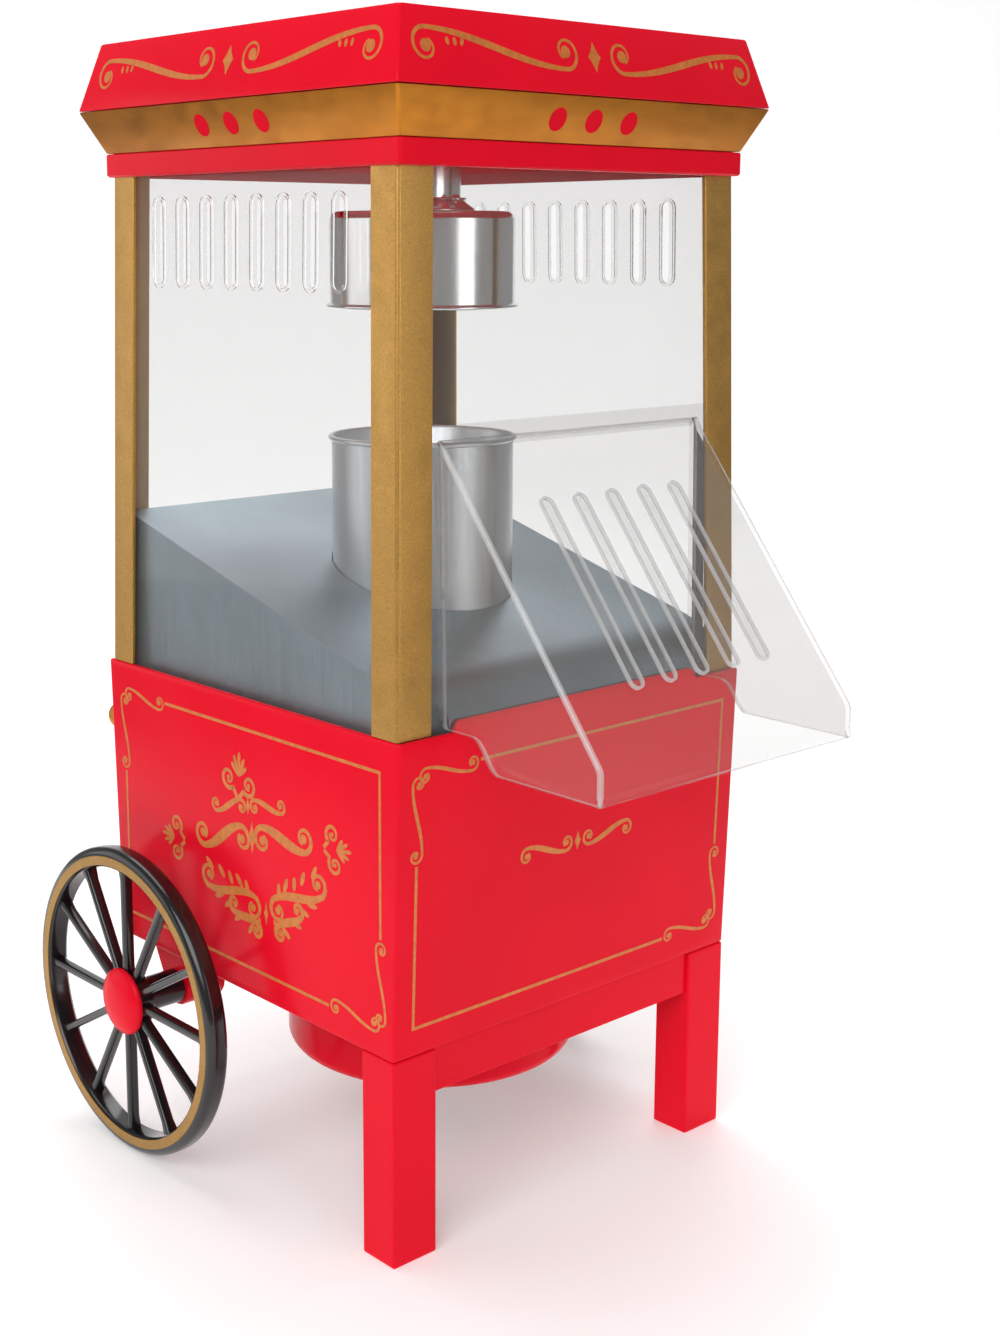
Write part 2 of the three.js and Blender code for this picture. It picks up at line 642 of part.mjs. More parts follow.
// Two crossed mica plates with feet that stand on the air guide's neck.
function heaterBobbin() {
  const foot = HEATER_RADIUS - SHEET_METAL - GAP;
  const plates = [0, 1].map((turn) => {
    const body = join(
      block([-BOBBIN_HALF, -MICA / 2, HEATER_BOTTOM], [BOBBIN_HALF, MICA / 2, HEATER_TOP - 8]),
      block([-foot, -MICA / 2, HEATER_BOTTOM], [foot, MICA / 2, HEATER_BOTTOM + 4]),
    );
    return body.rotate([0, 0, 45 + 90 * turn]);
  });
  return join(...plates).translate([0, AXIS_Y, 0]);
}

// The heating wire, wound round the mica plates.
function heaterCoil() {
  class Helix extends THREE.Curve {
    getPoint(t, target = new THREE.Vector3()) {
      const angle = t * HEATER_TURNS * 2 * Math.PI;
      const radius = BOBBIN_HALF + GAP + HEATER_WIRE;
      const z = HEATER_BOTTOM + 9 + t * (HEATER_HEIGHT - 24);
      return target.set(radius * Math.cos(angle), radius * Math.sin(angle) + AXIS_Y, z);
    }
  }
  const section = new THREE.Shape();
  section.absarc(0, 0, HEATER_WIRE, 0, 2 * Math.PI, false);
  const options = { steps: HEATER_TURNS * HEATER_STEPS, curveSegments: 3, extrudePath: new Helix() };
  return solid(new THREE.ExtrudeGeometry(section, options));
}

function thermostat() {
  const from = HEATER_RADIUS + GAP;
  const profile = [
    [0, from],
    [8, from],
    [8, from + 1.5],
    [6.5, from + 1.5],
    [6.5, from + 7],
    [0, from + 7],
  ];
  return turnedAlongX(profile, SIDES_SMALL, AXIS_Y, (HEATER_BOTTOM + HEATER_TOP) / 2);
}

// The thermal fuse lies in the corner of the two mica plates.
function thermalFuse() {
  const radius = 2.2;
  const away = (radius + GAP + MICA / 2) * Math.SQRT2;
  const middle = (HEATER_BOTTOM + HEATER_TOP) / 2;
  const profile = [
    [0, middle - 8],
    [radius * 0.6, middle - 8],
    [radius, middle - 6],
    [radius, middle + 6],
    [radius * 0.6, middle + 8],
    [0, middle + 8],
  ];
  return turned(profile, 12, away, AXIS_Y);
}

// The cup that the corn pops in, with slots in its floor for the hot air.
function poppingChamber() {
  const inner = CHAMBER_RADIUS - SHEET_METAL;
  const bead = 1.2;
  const profile = [
    [0, CHAMBER_BOTTOM],
    [HEATER_RADIUS, CHAMBER_BOTTOM],
    [HEATER_RADIUS, CHAMBER_BOTTOM + SHEET_METAL],
    [CHAMBER_RADIUS, CHAMBER_BOTTOM + SHEET_METAL],
    [CHAMBER_RADIUS, CHAMBER_TOP - 2 * bead],
    [CHAMBER_RADIUS + bead, CHAMBER_TOP - 2 * bead],
    [CHAMBER_RADIUS + bead, CHAMBER_TOP],
    [inner, CHAMBER_TOP],
    [inner, CHAMBER_BOTTOM + SHEET_METAL],
    [0, CHAMBER_BOTTOM + SHEET_METAL],
  ];
  let cup = turned(profile, SIDES_LARGE);
  for (let i = 0; i < CHAMBER_VENTS; i++) {
    const slot = new THREE.BoxGeometry(CHAMBER_RADIUS * 0.45, 3, SHEET_METAL * 4);
    slot.translate(CHAMBER_RADIUS * 0.6, 0, CHAMBER_BOTTOM);
    cup = cut(cup, solid(slot.rotateZ((i * 2 * Math.PI) / CHAMBER_VENTS)));
  }
  return cup.translate([0, AXIS_Y, 0]);
}

// ---------------------------------------------------------------- ramp

// The ramp fits inside the windows at its highest point, where they are narrowest round it.
const [RAMP_HALF_X, RAMP_HALF_Y] = inset(
  glassHalf(CABINET_TOP + RAMP_REAR_HEIGHT),
  WINDOW_WALL + GAP,
);

// The ramp's skin as a side view, [y, z]: a slope from the back that rounds down to its lip.
function rampLine(offset) {
  const back = RAMP_HALF_Y;
  const lipY = CABINET_WALL + 2 * GAP - CABINET_HALF_DEPTH;
  const lipZ = CABINET_TOP + RAMP_LIP_HEIGHT;
  const bendY = lipY + RAMP_BEND;
  const backZ = CABINET_TOP + RAMP_REAR_HEIGHT;
  const bendZ = backZ - (back - bendY) * RAMP_SLOPE;
  const control = [lipY + RAMP_BEND * 0.3, bendZ - RAMP_BEND * 0.7 * RAMP_SLOPE];
  const steps = 5;
  const bend = Array.from({ length: steps + 1 }, (_, i) => {
    const t = i / steps;
    const [a, b, c] = [(1 - t) ** 2, 2 * t * (1 - t), t ** 2];
    return [a * bendY + b * control[0] + c * lipY, a * bendZ + b * control[1] + c * lipZ];
  });
  return [[back, backZ], ...bend].map(([y, z]) => [y, z - offset]);
}

// A wedge of folded sheet: the slope, its two side cheeks and its back, open underneath.
function popcornRamp() {
  const halfX = RAMP_HALF_X;
  const lipHalf = CHUTE_INNER_HALF - 2 * GAP;
  const foot = LEDGE_TOP + GAP;
  const wall = SHEET_METAL;
  const top = rampLine(0);
  const [backY] = top[0];
  const [lipY] = top[top.length - 1];
  const outside = acrossX([...top, [lipY, foot], [backY, foot]], -halfX, halfX);
  const under = rampLine(wall);
  under[0] = [backY - wall, under[0][1]];
  under[under.length - 1][0] += wall;
  const hollow = [...under, [lipY + wall, foot - 1], [backY - wall, foot - 1]];
  const inside = acrossX(hollow, wall - halfX, halfX - wall);
  const front = glassFront(CABINET_TOP) + WINDOW_WALL + 2 * GAP;
  const corners = [-1, 1].map((side) => {
    const x = [side * lipHalf, side * (halfX + 1)].sort((a, b) => a - b);
    return block([x[0], lipY - 1, foot - 2], [x[1], front, CABINET_TOP + RAMP_REAR_HEIGHT]);
  });
  const opening = turned(rod(CHAMBER_RADIUS + 2 * GAP, foot - 2, CHAMBER_TOP), SIDES_LARGE, 0, AXIS_Y);
  const cheeks = [-1, 1].map((side) => {
    const x = [side * lipHalf, side * (lipHalf - wall)].sort((a, b) => a - b);
    const strip = block([x[0], lipY, foot], [x[1], front + wall, CABINET_TOP + RAMP_REAR_HEIGHT]);
    return strip.intersect(outside);
  });
  const closing = [-1, 1].map((side) => {
    const x = [side * (lipHalf - wall), side * halfX].sort((a, b) => a - b);
    const strip = block([x[0], front, foot], [x[1], front + wall, CABINET_TOP + RAMP_REAR_HEIGHT]);
    return strip.intersect(outside);
  });
  const folded = cut(cut(outside, inside), ...corners);
  return cut(join(folded, ...cheeks, ...closing), opening);
}

// ---------------------------------------------------------------- window housing

// The clear box: four walls, vent slots on both sides and the popcorn opening at the front.
function windowHousing() {
  const outer = [HOUSING_BOTTOM, HOUSING_TOP].map((z) => [z, rectangle(glassHalf(z))]);
  const inner = [HOUSING_BOTTOM - 1, HOUSING_TOP + 1].map((z) => [
    z,
    rectangle(inset(glassHalf(z), WINDOW_WALL)),
  ]);
  const reach = WINDOW_HALF_WIDTH + 10;
  const ventTop = BAND_BOTTOM - VENT_TOP_BELOW_BAND;
  const r = VENT_WIDTH / 2;
  const vents = Array.from({ length: VENT_COUNT }, (_, i) => {
    const y = (i - (VENT_COUNT - 1) / 2) * VENT_PITCH + 1;
    const pill = [
      ...arc(y, ventTop - r, r, 0, Math.PI, 5),
      ...arc(y, ventTop - VENT_HEIGHT + r, r, Math.PI, 2 * Math.PI, 5),
    ];
    return acrossX(pill, -reach, reach);
  });
  const mouth = block(
    [-CHUTE_INNER_HALF, -WINDOW_HALF_DEPTH - 5, HOUSING_BOTTOM - 1],
    [CHUTE_INNER_HALF, -WINDOW_HALF_DEPTH / 2, CABINET_TOP + CHUTE_TOP - CHUTE_WALL],
  );
  return cut(loft(outer), loft(inner), ...vents, mouth);
}

// One angle-shaped corner post, following the taper of the windows.
function cornerPost(sx, sy) {
  const section = (z) => {
    const [halfX, halfY] = windowHalf(z);
    const points = [
      [halfX, halfY],
      [halfX - POST_FRONT_WIDTH, halfY],
      [halfX - POST_FRONT_WIDTH, halfY - POST_WALL],
      [halfX - POST_WALL, halfY - POST_WALL],
      [halfX - POST_WALL, halfY - POST_SIDE_WIDTH],
      [halfX, halfY - POST_SIDE_WIDTH],
    ];
    return points.map(([x, y]) => [sx * x, sy * y]);
  };
  return loft([CABINET_TOP + GAP, HOUSING_TOP].map((z) => [z, section(z)]));
}

// The clear hood over the popcorn opening, open at its back and underneath.
function chute() {
  const top = CABINET_TOP + CHUTE_TOP;
  const lipTop = CABINET_TOP + CHUTE_LIP_TOP;
  const lipBottom = CABINET_TOP + CHUTE_LIP_BOTTOM;
  const footZ = CABINET_TOP + 4 * GAP;
  const faceY = (z) => glassFront(z) - GAP;
  const lipY = faceY(CABINET_TOP) - CHUTE_REACH;
  const sillY = -CABINET_HALF_DEPTH - CHUTE_SILL_REACH;
  const drop = footZ - lipBottom;
  const sCurve = Array.from({ length: 7 }, (_, i) => {
    const t = i / 6;
    return [sillY - t * drop * 0.8, footZ - drop * Math.sin((t * Math.PI) / 2)];
  });
  const outline = [
    [faceY(top), top],
    [faceY(footZ), footZ],
    ...sCurve,
    [lipY, lipBottom],
    [lipY, lipTop],
  ];
  const outside = acrossX(outline, -CHUTE_HALF_WIDTH, CHUTE_HALF_WIDTH);
  // The sloping panel runs from (faceY(top), top) to (lipY, lipTop).
  const run = faceY(top) - lipY;
  const rise = top - lipTop;
  const length = Math.hypot(run, rise);
  const under = (y) => top - ((faceY(top) - y) * rise) / run - (CHUTE_WALL * length) / run;
  const backY = -WINDOW_HALF_DEPTH / 2;
  const frontY = lipY + CHUTE_WALL;
  const hollow = [
    [backY, under(backY)],
    [frontY, under(frontY)],
    [frontY, lipBottom - 1],
    [backY, lipBottom - 1],
  ];
  const inside = acrossX(hollow, -CHUTE_INNER_HALF, CHUTE_INNER_HALF);
  // Flanges that lie on the window, above the hood and beside its cheeks.
  const flange = (z0, z1, x0, x1) => {
    const outlineOf = [
      [faceY(z0), z0],
      [faceY(z1), z1],
      [faceY(z1) - CHUTE_WALL, z1],
      [faceY(z0) - CHUTE_WALL, z0],
    ];
    return acrossX(outlineOf, x0, x1);
  };
  const side = CHUTE_HALF_WIDTH + 2.5;
  const flanges = [
    flange(top - 3, top + CHUTE_FLANGE, -side, side),
    flange(footZ + 4, top, -side, -CHUTE_INNER_HALF),
    flange(footZ + 4, top, CHUTE_INNER_HALF, side),
  ];
  // Stiffening ribs: long pills raised on the panel, square to it.
  const tilt = Math.atan2(rise, run);
  const half = CHUTE_RIB_WIDTH / 2;
  const ribStart = length * 0.21;
  const ribEnd = length * 0.81;
  const ribs = Array.from({ length: CHUTE_RIBS }, (_, i) => {
    const x = (i - (CHUTE_RIBS - 1) / 2) * CHUTE_RIB_PITCH;
    const pill = new THREE.Shape([
      ...arc(x, -ribStart - half, half, 0, Math.PI, 5),
      ...arc(x, -ribEnd + half, half, Math.PI, 2 * Math.PI, 5),
    ].map(([u, v]) => new THREE.Vector2(u, v)));
    const depth = CHUTE_RIB_HEIGHT + CHUTE_WALL / 2;
    const body = new THREE.ExtrudeGeometry(pill, { depth, bevelEnabled: false });
    body.translate(0, 0, -CHUTE_WALL / 2).rotateX(tilt).translate(0, faceY(top), top);
    return solid(body);
  });
  return join(cut(outside, inside), ...flanges, ...ribs);
}

// ---------------------------------------------------------------- canopy

const ROOF_UNDERSIDE = ROOF_TOP - CANOPY_WALL;
const seatHalf = inset(windowHalf(BAND_BOTTOM), -GAP); // skirt fits round the posts
const throatHalf = inset(windowHalf(HOUSING_TOP), CANOPY_WALL);
const neckHalf = inset(throatHalf, -CANOPY_WALL);

// The red canopy: skirt, neck behind the cornice, overhanging roof, and the hole for the cap.
function canopy() {
  const skirt = loft([BAND_BOTTOM, CORNICE_BOTTOM - GAP].map((z) => [z, rectangle(bandHalf)]));
  const neck = loft([CORNICE_BOTTOM - 1, RIDGE + 1].map((z) => [z, rectangle(neckHalf)]));
  const roof = loft([
    [RIDGE, rectangle(ridgeHalf)],
    [ROOF_TOP, rectangle(roofHalf)],
  ]);
  const seat = loft([BAND_BOTTOM - 1, HOUSING_TOP + GAP].map((z) => [z, rectangle(seatHalf)]));
  const throat = loft([HOUSING_TOP, RIDGE + 3].map((z) => [z, rectangle(throatHalf)]));
  const slope = ROOF_SLOPE / ROOF_HEIGHT;
  const atticFloor = RIDGE + CANOPY_WALL;
  const attic = loft(
    [atticFloor, ROOF_UNDERSIDE].map((z) => [
      z,
      rectangle(inset(ridgeHalf, (z - RIDGE) * slope + CANOPY_WALL)),
    ]),
  );
  const hole = turned(rod(CAP_RADIUS + 2 * GAP, ROOF_UNDERSIDE - 1, ROOF_TOP + 1), SIDES_MIDDLE, 0, AXIS_Y);
  return cut(join(skirt, neck, roof), seat, throat, attic, hole);
}

// The gold cornice, a wedge-shaped frame that sits between the skirt and the ridge.
function corniceBand() {
  const outside = loft([
    [CORNICE_BOTTOM, rectangle(bandHalf)],
    [RIDGE - GAP, rectangle(ridgeHalf)],
  ]);
  const inside = loft(
    [CORNICE_BOTTOM - 1, RIDGE + 1].map((z) => [z, rectangle(inset(neckHalf, -GAP))]),
  );
  return cut(outside, inside);
}

const KETTLE_TOP = BAND_BOTTOM - KETTLE_TOP_BELOW_BAND;
const KETTLE_BOTTOM = KETTLE_TOP - KETTLE_HEIGHT;
const CUP_BOTTOM = ROOF_TOP - CAP_DEPTH;

// The filler tube: a wide mouth under the roof that takes the cap, and the tube to the kettle.
function kernelFunnel() {
  const wall = 1.4;
  const mouth = CAP_RADIUS + 2 * GAP;
  const top = ROOF_UNDERSIDE - GAP;
  const mouthFloor = CUP_BOTTOM - 3;
  const profile = [
    [TUBE_RADIUS - wall, KETTLE_TOP - SHEET_METAL - 3],
    [TUBE_RADIUS, KETTLE_TOP - SHEET_METAL - 3],
    [TUBE_RADIUS, mouthFloor - 8],
    [mouth + wall, mouthFloor],
    [mouth + wall, top - 2],
    [mouth + 8, top - 2],
    [mouth + 8, top],
    [mouth, top],
    [mouth, mouthFloor + 1],
    [TUBE_RADIUS - wall, mouthFloor - 7],
    [TUBE_RADIUS - wall, KETTLE_TOP - SHEET_METAL - 3],
  ];
  return turned(profile, SIDES_MIDDLE, 0, AXIS_Y);
}

// The low cone that clamps the kettle to the tube.
function tubeCollar() {
  const inner = TUBE_RADIUS + GAP;
  const z = KETTLE_TOP + GAP;
  const profile = [
    [inner, z],
    [inner + 5.5, z],
    [inner + 1.4, z + 3.4],
    [inner + 1.4, z + 4.2],
    [inner + 2, z + 4.4],
    [inner + 2, z + 5.2],
    [inner, z + 5.2],
    [inner, z],
  ];
  return turned(profile, SIDES_MIDDLE, 0, AXIS_Y);
}

// The little ball-headed screw at the front of the collar.
function collarStud() {
  const face = TUBE_RADIUS + GAP + 2 + GAP - AXIS_Y;
  const z = KETTLE_TOP + GAP + 4.6;
  const ball = new THREE.SphereGeometry(1.9, 12, 8).translate(0, -face - 1.9, z);
  return solid(ball);
}

// The kettle: a chromed pot, open underneath, with a rolled rim.
function kettle() {
  const inner = KETTLE_RADIUS - SHEET_METAL;
  const corner = 3;
  const crown = arc(KETTLE_RADIUS - corner, KETTLE_TOP - corner, corner, 0, Math.PI / 2, 3);
  const rimTop = KETTLE_BOTTOM + KETTLE_RIM;
  const profile = [
    [inner, KETTLE_BOTTOM],
    [KETTLE_RADIUS + KETTLE_RIM * 0.7, KETTLE_BOTTOM],
    [KETTLE_RADIUS + KETTLE_RIM, KETTLE_BOTTOM + KETTLE_RIM / 2],
    [KETTLE_RADIUS + KETTLE_RIM * 0.7, rimTop],
    [KETTLE_RADIUS, rimTop + 0.6],
    ...crown,
    [TUBE_RADIUS + GAP, KETTLE_TOP],
    [TUBE_RADIUS + GAP, KETTLE_TOP - SHEET_METAL],
    [KETTLE_RADIUS - corner, KETTLE_TOP - SHEET_METAL],
    [inner, KETTLE_TOP - corner],
    [inner, KETTLE_BOTTOM],
  ];
  return turned(profile, SIDES_LARGE, 0, AXIS_Y);
}

// The measuring cap: a cup that hangs by its rim in the hole of the roof.
function measuringCap() {
  const wall = 1.6;
  const rim = ROOF_TOP + GAP;
  const inner = CAP_RADIUS - wall;
  const profile = [
    [0, CUP_BOTTOM],
    [CAP_RADIUS - 1.5, CUP_BOTTOM],
    [CAP_RADIUS, CUP_BOTTOM + 1.5],
    [CAP_RADIUS, rim],
    [CAP_RADIUS + CAP_RIM, rim],
    [CAP_RADIUS + CAP_RIM, rim + 2],
    [CAP_RADIUS + CAP_RIM - 1, rim + 2.6],
    [inner, rim + 2.6],
    [inner, CUP_BOTTOM + wall],
    [0, CUP_BOTTOM + wall],
  ];
  return turned(profile, SIDES_MIDDLE, 0, AXIS_Y);
}

// ---------------------------------------------------------------- rear fittings

const backAt = (z) => cabinetHalf(z)[1];
const HANDLE_Z = CABINET_TOP - HANDLE_BELOW_TOP;
const HANDLE_Y = backAt(HANDLE_Z) + HANDLE_REACH;

// The push bar: a round bar with domed ends.
function handleBar() {
  const dome = (sign) =>
    arc(0, 0, HANDLE_RADIUS, sign < 0 ? -Math.PI / 2 : 0, sign < 0 ? 0 : Math.PI / 2, 3);
  const shift = HANDLE_HALF_LENGTH - HANDLE_RADIUS;
  const left = dome(-1).map(([r, h]) => [Math.max(r, 0), h - shift]);
  const right = dome(1).map(([r, h]) => [Math.max(r, 0), h + shift]);
  left[0][0] = 0;
  right[right.length - 1][0] = 0;
  return turnedAlongX([...left, ...right], SIDES_SMALL, HANDLE_Y, HANDLE_Z);
}

// A stand-off between the cabinet's back and the bar, hollowed to the bar's curve.
function handlePost(side) {
  const wallEdge = backAt(HANDLE_Z + 7) + GAP;
  const profile = [
    [0, wallEdge],
    [7, wallEdge],
    [7, wallEdge + 1.6],
    [HANDLE_POST_RADIUS, wallEdge + 2.8],
    [HANDLE_POST_RADIUS, HANDLE_Y],
    [0, HANDLE_Y],
  ];
  const body = turnedAlongY(profile, SIDES_SMALL, side * HANDLE_POST_X, HANDLE_Z);
  const x = side * HANDLE_POST_X;
  const bar = rod(HANDLE_RADIUS + GAP, x - 10, x + 10);
  return cut(body, turnedAlongX(bar, SIDES_SMALL, HANDLE_Y, HANDLE_Z));
}

// The hole in the cabinet's back that the switch frame fits.
function switchHole() {
  const halfX = SWITCH_WIDTH / 2 + 2 + GAP;
  const halfZ = SWITCH_HEIGHT / 2 + 2 + GAP;
  return [
    [SWITCH_X - halfX, 0, SWITCH_Z - halfZ],
    [SWITCH_X + halfX, CABINET_HALF_DEPTH + 5, SWITCH_Z + halfZ],
  ];
}

// The switch frame: a sleeve through the wall with a flange outside.
function switchBezel() {
  const halfX = SWITCH_WIDTH / 2;
  const halfZ = SWITCH_HEIGHT / 2;
  const face = backAt(SWITCH_Z + halfZ + 4) + GAP;
  const centred = (dx, dz, y0, y1) =>
    block([SWITCH_X - dx, y0, SWITCH_Z - dz], [SWITCH_X + dx, y1, SWITCH_Z + dz]);
  return cut(
    join(
      centred(halfX + 2, halfZ + 2, face - 14, face + 1),
      centred(halfX + 4, halfZ + 4, face, face + 2),
    ),
    centred(halfX, halfZ, face - 12, face + 3),
  );
}

// The rocker, resting in its off position.
function switchRocker() {
  const face = backAt(SWITCH_Z + SWITCH_HEIGHT / 2 + 4) + GAP;
  const pivotY = face - 1;
  const reach = SWITCH_HEIGHT / 2 - 0.9;
  const outline = [
    [-6, -reach + 0.8],
    [4, -reach],
    [2.2, 0],
    [4, reach],
    [-6, reach - 0.8],
  ];
  const halfX = SWITCH_WIDTH / 2 - GAP;
  const body = acrossX(outline, -halfX, halfX);
  const tilt = THREE.MathUtils.radToDeg(SWITCH_TILT);
  return body.rotate([tilt, 0, 0]).translate([SWITCH_X, pivotY, SWITCH_Z]);
}

const glandNeck = () => GLAND_BORE + 2;

// The bush where the mains lead enters the cabinet.
function cordGland() {
  const face = backAt(GLAND_Z + 9) + GAP;
  const profile = [
    [GLAND_BORE, face - 7],
    [glandNeck(), face - 7],
    [glandNeck(), face],
    [GLAND_BORE + 5, face],
    [GLAND_BORE + 5, face + 2],
    [glandNeck(), face + 3.5],
    [GLAND_BORE + 1, face + 11],
    [GLAND_BORE, face + 11],
    [GLAND_BORE, face - 7],
  ];
  return turnedAlongY(profile, SIDES_SMALL, GLAND_X, GLAND_Z);
}

// ---------------------------------------------------------------- materials and assembly

const paint = (color, roughness, metalness = 0, more = {}) =>
  new THREE.MeshStandardMaterial({ color, roughness, metalness, ...more });
const redPlastic = paint(0xe01b2c, 0.35);
const goldPaint = paint(0xa8823f, 0.45, 0.6);
const clearPlastic = paint(0xf2f2f0, 0.06, 0, { transparent: true, opacity: 0.3 });
const blackPlastic = paint(0x141315, 0.3);
const chrome = paint(0xc9cccf, 0.15, 1);
const brushedSteel = paint(0x8a9299, 0.4, 0.9);
const darkPlastic = paint(0x2a2a2c, 0.6);
const mica = paint(0xcbbf9c, 0.7);
const wire = paint(0x9a938c, 0.4, 0.9);

const assembly = new THREE.Group();
assembly.name = "popcorn_maker";

// The origin lies under the middle of the whole footprint, from the chute's lip to the wheels' back.
const FRONT_REACH = CHUTE_REACH + GAP - glassFront(CABINET_TOP);
const REAR_REACH = Math.max(WHEEL_Y + WHEEL_RADIUS, HANDLE_Y + HANDLE_RADIUS);
assembly.position.y = (FRONT_REACH - REAR_REACH) / 2;

function addGeometry(name, geometry, material) {
  const mesh = new THREE.Mesh(geometry, material);
  mesh.name = name;
  assembly.add(mesh);
}

const add = (name, body, material) => addGeometry(name, geometryOf(body), material);

add("cabinet_shell", cabinetShell(), redPlastic);
add("cabinet_floor", cabinetFloor(), darkPlastic);
add("blower_drum", blowerDrum(), redPlastic);
add("intake_grille", intakeGrille(), darkPlastic);
add("front_apron", frontApron(), redPlastic);
add("axle", axle(), blackPlastic);
for (const [side, word] of [[-1, "left"], [1, "right"]]) {
  add("front_leg_" + word, frontLeg(side), redPlastic);
  add("axle_bracket_" + word, axleBracket(side), redPlastic);
  addGeometry("wheel_" + word, onAxle(geometryOf(wheel()), side), blackPlastic);
  addGeometry("wheel_ring_" + word, onAxle(geometryOf(wheelRing()), side), goldPaint);
  addGeometry("hub_cap_" + word, onAxle(geometryOf(hubCap()), side), redPlastic);
  add("handle_post_" + word, handlePost(side), goldPaint);
  for (const [end, where] of [[-1, "front"], [1, "rear"]]) {
    add("corner_post_" + where + "_" + word, cornerPost(side, end), goldPaint);
    add("floor_screw_" + where + "_" + word, floorScrew(side, end), brushedSteel);
  }
}
add("handle_bar", handleBar(), goldPaint);
add("motor_bracket", motorBracket(), brushedSteel);
add("motor", motor(), brushedSteel);
add("fan_shaft", fanShaft(), brushedSteel);
add("fan_impeller", fanImpeller(), darkPlastic);
add("air_guide", airGuide(), darkPlastic);
add("heater_housing", heaterHousing(), brushedSteel);
add("heater_bobbin", heaterBobbin(), mica);
add("heater_coil", heaterCoil(), wire);
add("thermostat", thermostat(), brushedSteel);
add("thermal_fuse", thermalFuse(), brushedSteel);
add("popping_chamber", poppingChamber(), chrome);
add("popcorn_ramp", popcornRamp(), brushedSteel);
add("window_housing", windowHousing(), clearPlastic);
add("chute", chute(), clearPlastic);
add("canopy", canopy(), redPlastic);
add("cornice_band", corniceBand(), goldPaint);
add("kernel_funnel", kernelFunnel(), chrome);
add("tube_collar", tubeCollar(), chrome);
add("collar_stud", collarStud(), chrome);
add("kettle", kettle(), chrome);
add("measuring_cap", measuringCap(), redPlastic);
add("switch_bezel", switchBezel(), darkPlastic);
add("switch_rocker", switchRocker(), blackPlastic);
add("cord_gland", cordGland(), blackPlastic);

export default assembly;
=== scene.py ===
"""Looks of a tabletop popcorn maker styled as a street cart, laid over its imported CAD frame."""

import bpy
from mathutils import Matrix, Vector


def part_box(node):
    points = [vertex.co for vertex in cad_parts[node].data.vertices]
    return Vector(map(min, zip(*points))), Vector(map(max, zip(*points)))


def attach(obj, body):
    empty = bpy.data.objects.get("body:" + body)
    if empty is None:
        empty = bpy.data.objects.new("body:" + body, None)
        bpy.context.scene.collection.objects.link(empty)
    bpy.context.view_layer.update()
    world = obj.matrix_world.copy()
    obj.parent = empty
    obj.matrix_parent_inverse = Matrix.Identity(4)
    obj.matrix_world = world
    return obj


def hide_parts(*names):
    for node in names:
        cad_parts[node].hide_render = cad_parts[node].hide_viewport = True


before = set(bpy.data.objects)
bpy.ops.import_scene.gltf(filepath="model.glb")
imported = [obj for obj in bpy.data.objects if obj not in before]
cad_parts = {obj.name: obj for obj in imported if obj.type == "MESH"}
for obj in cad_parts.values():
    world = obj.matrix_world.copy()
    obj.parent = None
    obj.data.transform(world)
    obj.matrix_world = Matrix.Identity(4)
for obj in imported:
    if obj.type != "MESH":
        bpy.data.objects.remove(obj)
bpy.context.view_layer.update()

import math

import bmesh
import bpy
import numpy as np
from bpy.props import FloatProperty, FloatVectorProperty, IntProperty, PointerProperty
from bpy.types import Operator, Panel, PropertyGroup
from mathutils import Euler, Vector

bl_info = {
    "name": "Popcorn Maker",
    "version": (1, 0, 0),
    "blender": (4, 5, 0),
    "location": "3D View > Sidebar > Popcorn Maker",
    "description": "Builds the visible pieces of a cart-style popcorn maker over its CAD frame",
    "category": "Object",
}

MM = 0.001
GAP = 0.3                   # clearance the CAD leaves between neighbouring pieces, in millimetres
MIRRORED = ((-1, "left"), (1, "right"))


# ---------------------------------------------------------------- places taken from the CAD frame

def raw_span(node):
    """A CAD node's lowest and highest corner, in millimetres."""
    low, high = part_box(node)
    return np.array(low) / MM, np.array(high) / MM


MIDDLE_Y = sum(corner[1] for corner in raw_span("window_housing")) / 2


def span(node):
    """The same with y counted from the middle of the windows, as every shape below counts it."""
    low, high = raw_span(node)
    shift = np.array([0, MIDDLE_Y, 0])
    return low - shift, high - shift


CABINET_LOW, CABINET_HIGH = span("cabinet_shell")
CANOPY_LOW, CANOPY_HIGH = span("canopy")
CORNICE_LOW, CORNICE_HIGH = span("cornice_band")
POST_LOW, POST_HIGH = span("corner_post_front_left")
KETTLE_LOW, KETTLE_HIGH = span("kettle")
CAP_LOW, CAP_HIGH = span("measuring_cap")
CHUTE_LOW = span("chute")[0]
WHEEL_LOW, WHEEL_HIGH = span("wheel_right")
DRUM_LOW, DRUM_HIGH = span("blower_drum")
CHAMBER_LOW, CHAMBER_HIGH = span("popping_chamber")
BAR_LOW, BAR_HIGH = span("handle_bar")

AXIS_Y = (KETTLE_LOW[1] + KETTLE_HIGH[1]) / 2
AXLE_Y = (WHEEL_LOW[1] + WHEEL_HIGH[1]) / 2
AXLE_Z = (WHEEL_LOW[2] + WHEEL_HIGH[2]) / 2

CABINET_BOTTOM = CABINET_LOW[2]
CABINET_TOP = POST_LOW[2] - GAP
SILL_TOP = CABINET_HIGH[2]
CABINET_HALF = np.array([CABINET_HIGH[0], CABINET_HIGH[1]])
CABINET_LEAN = np.array([0, 4.2])

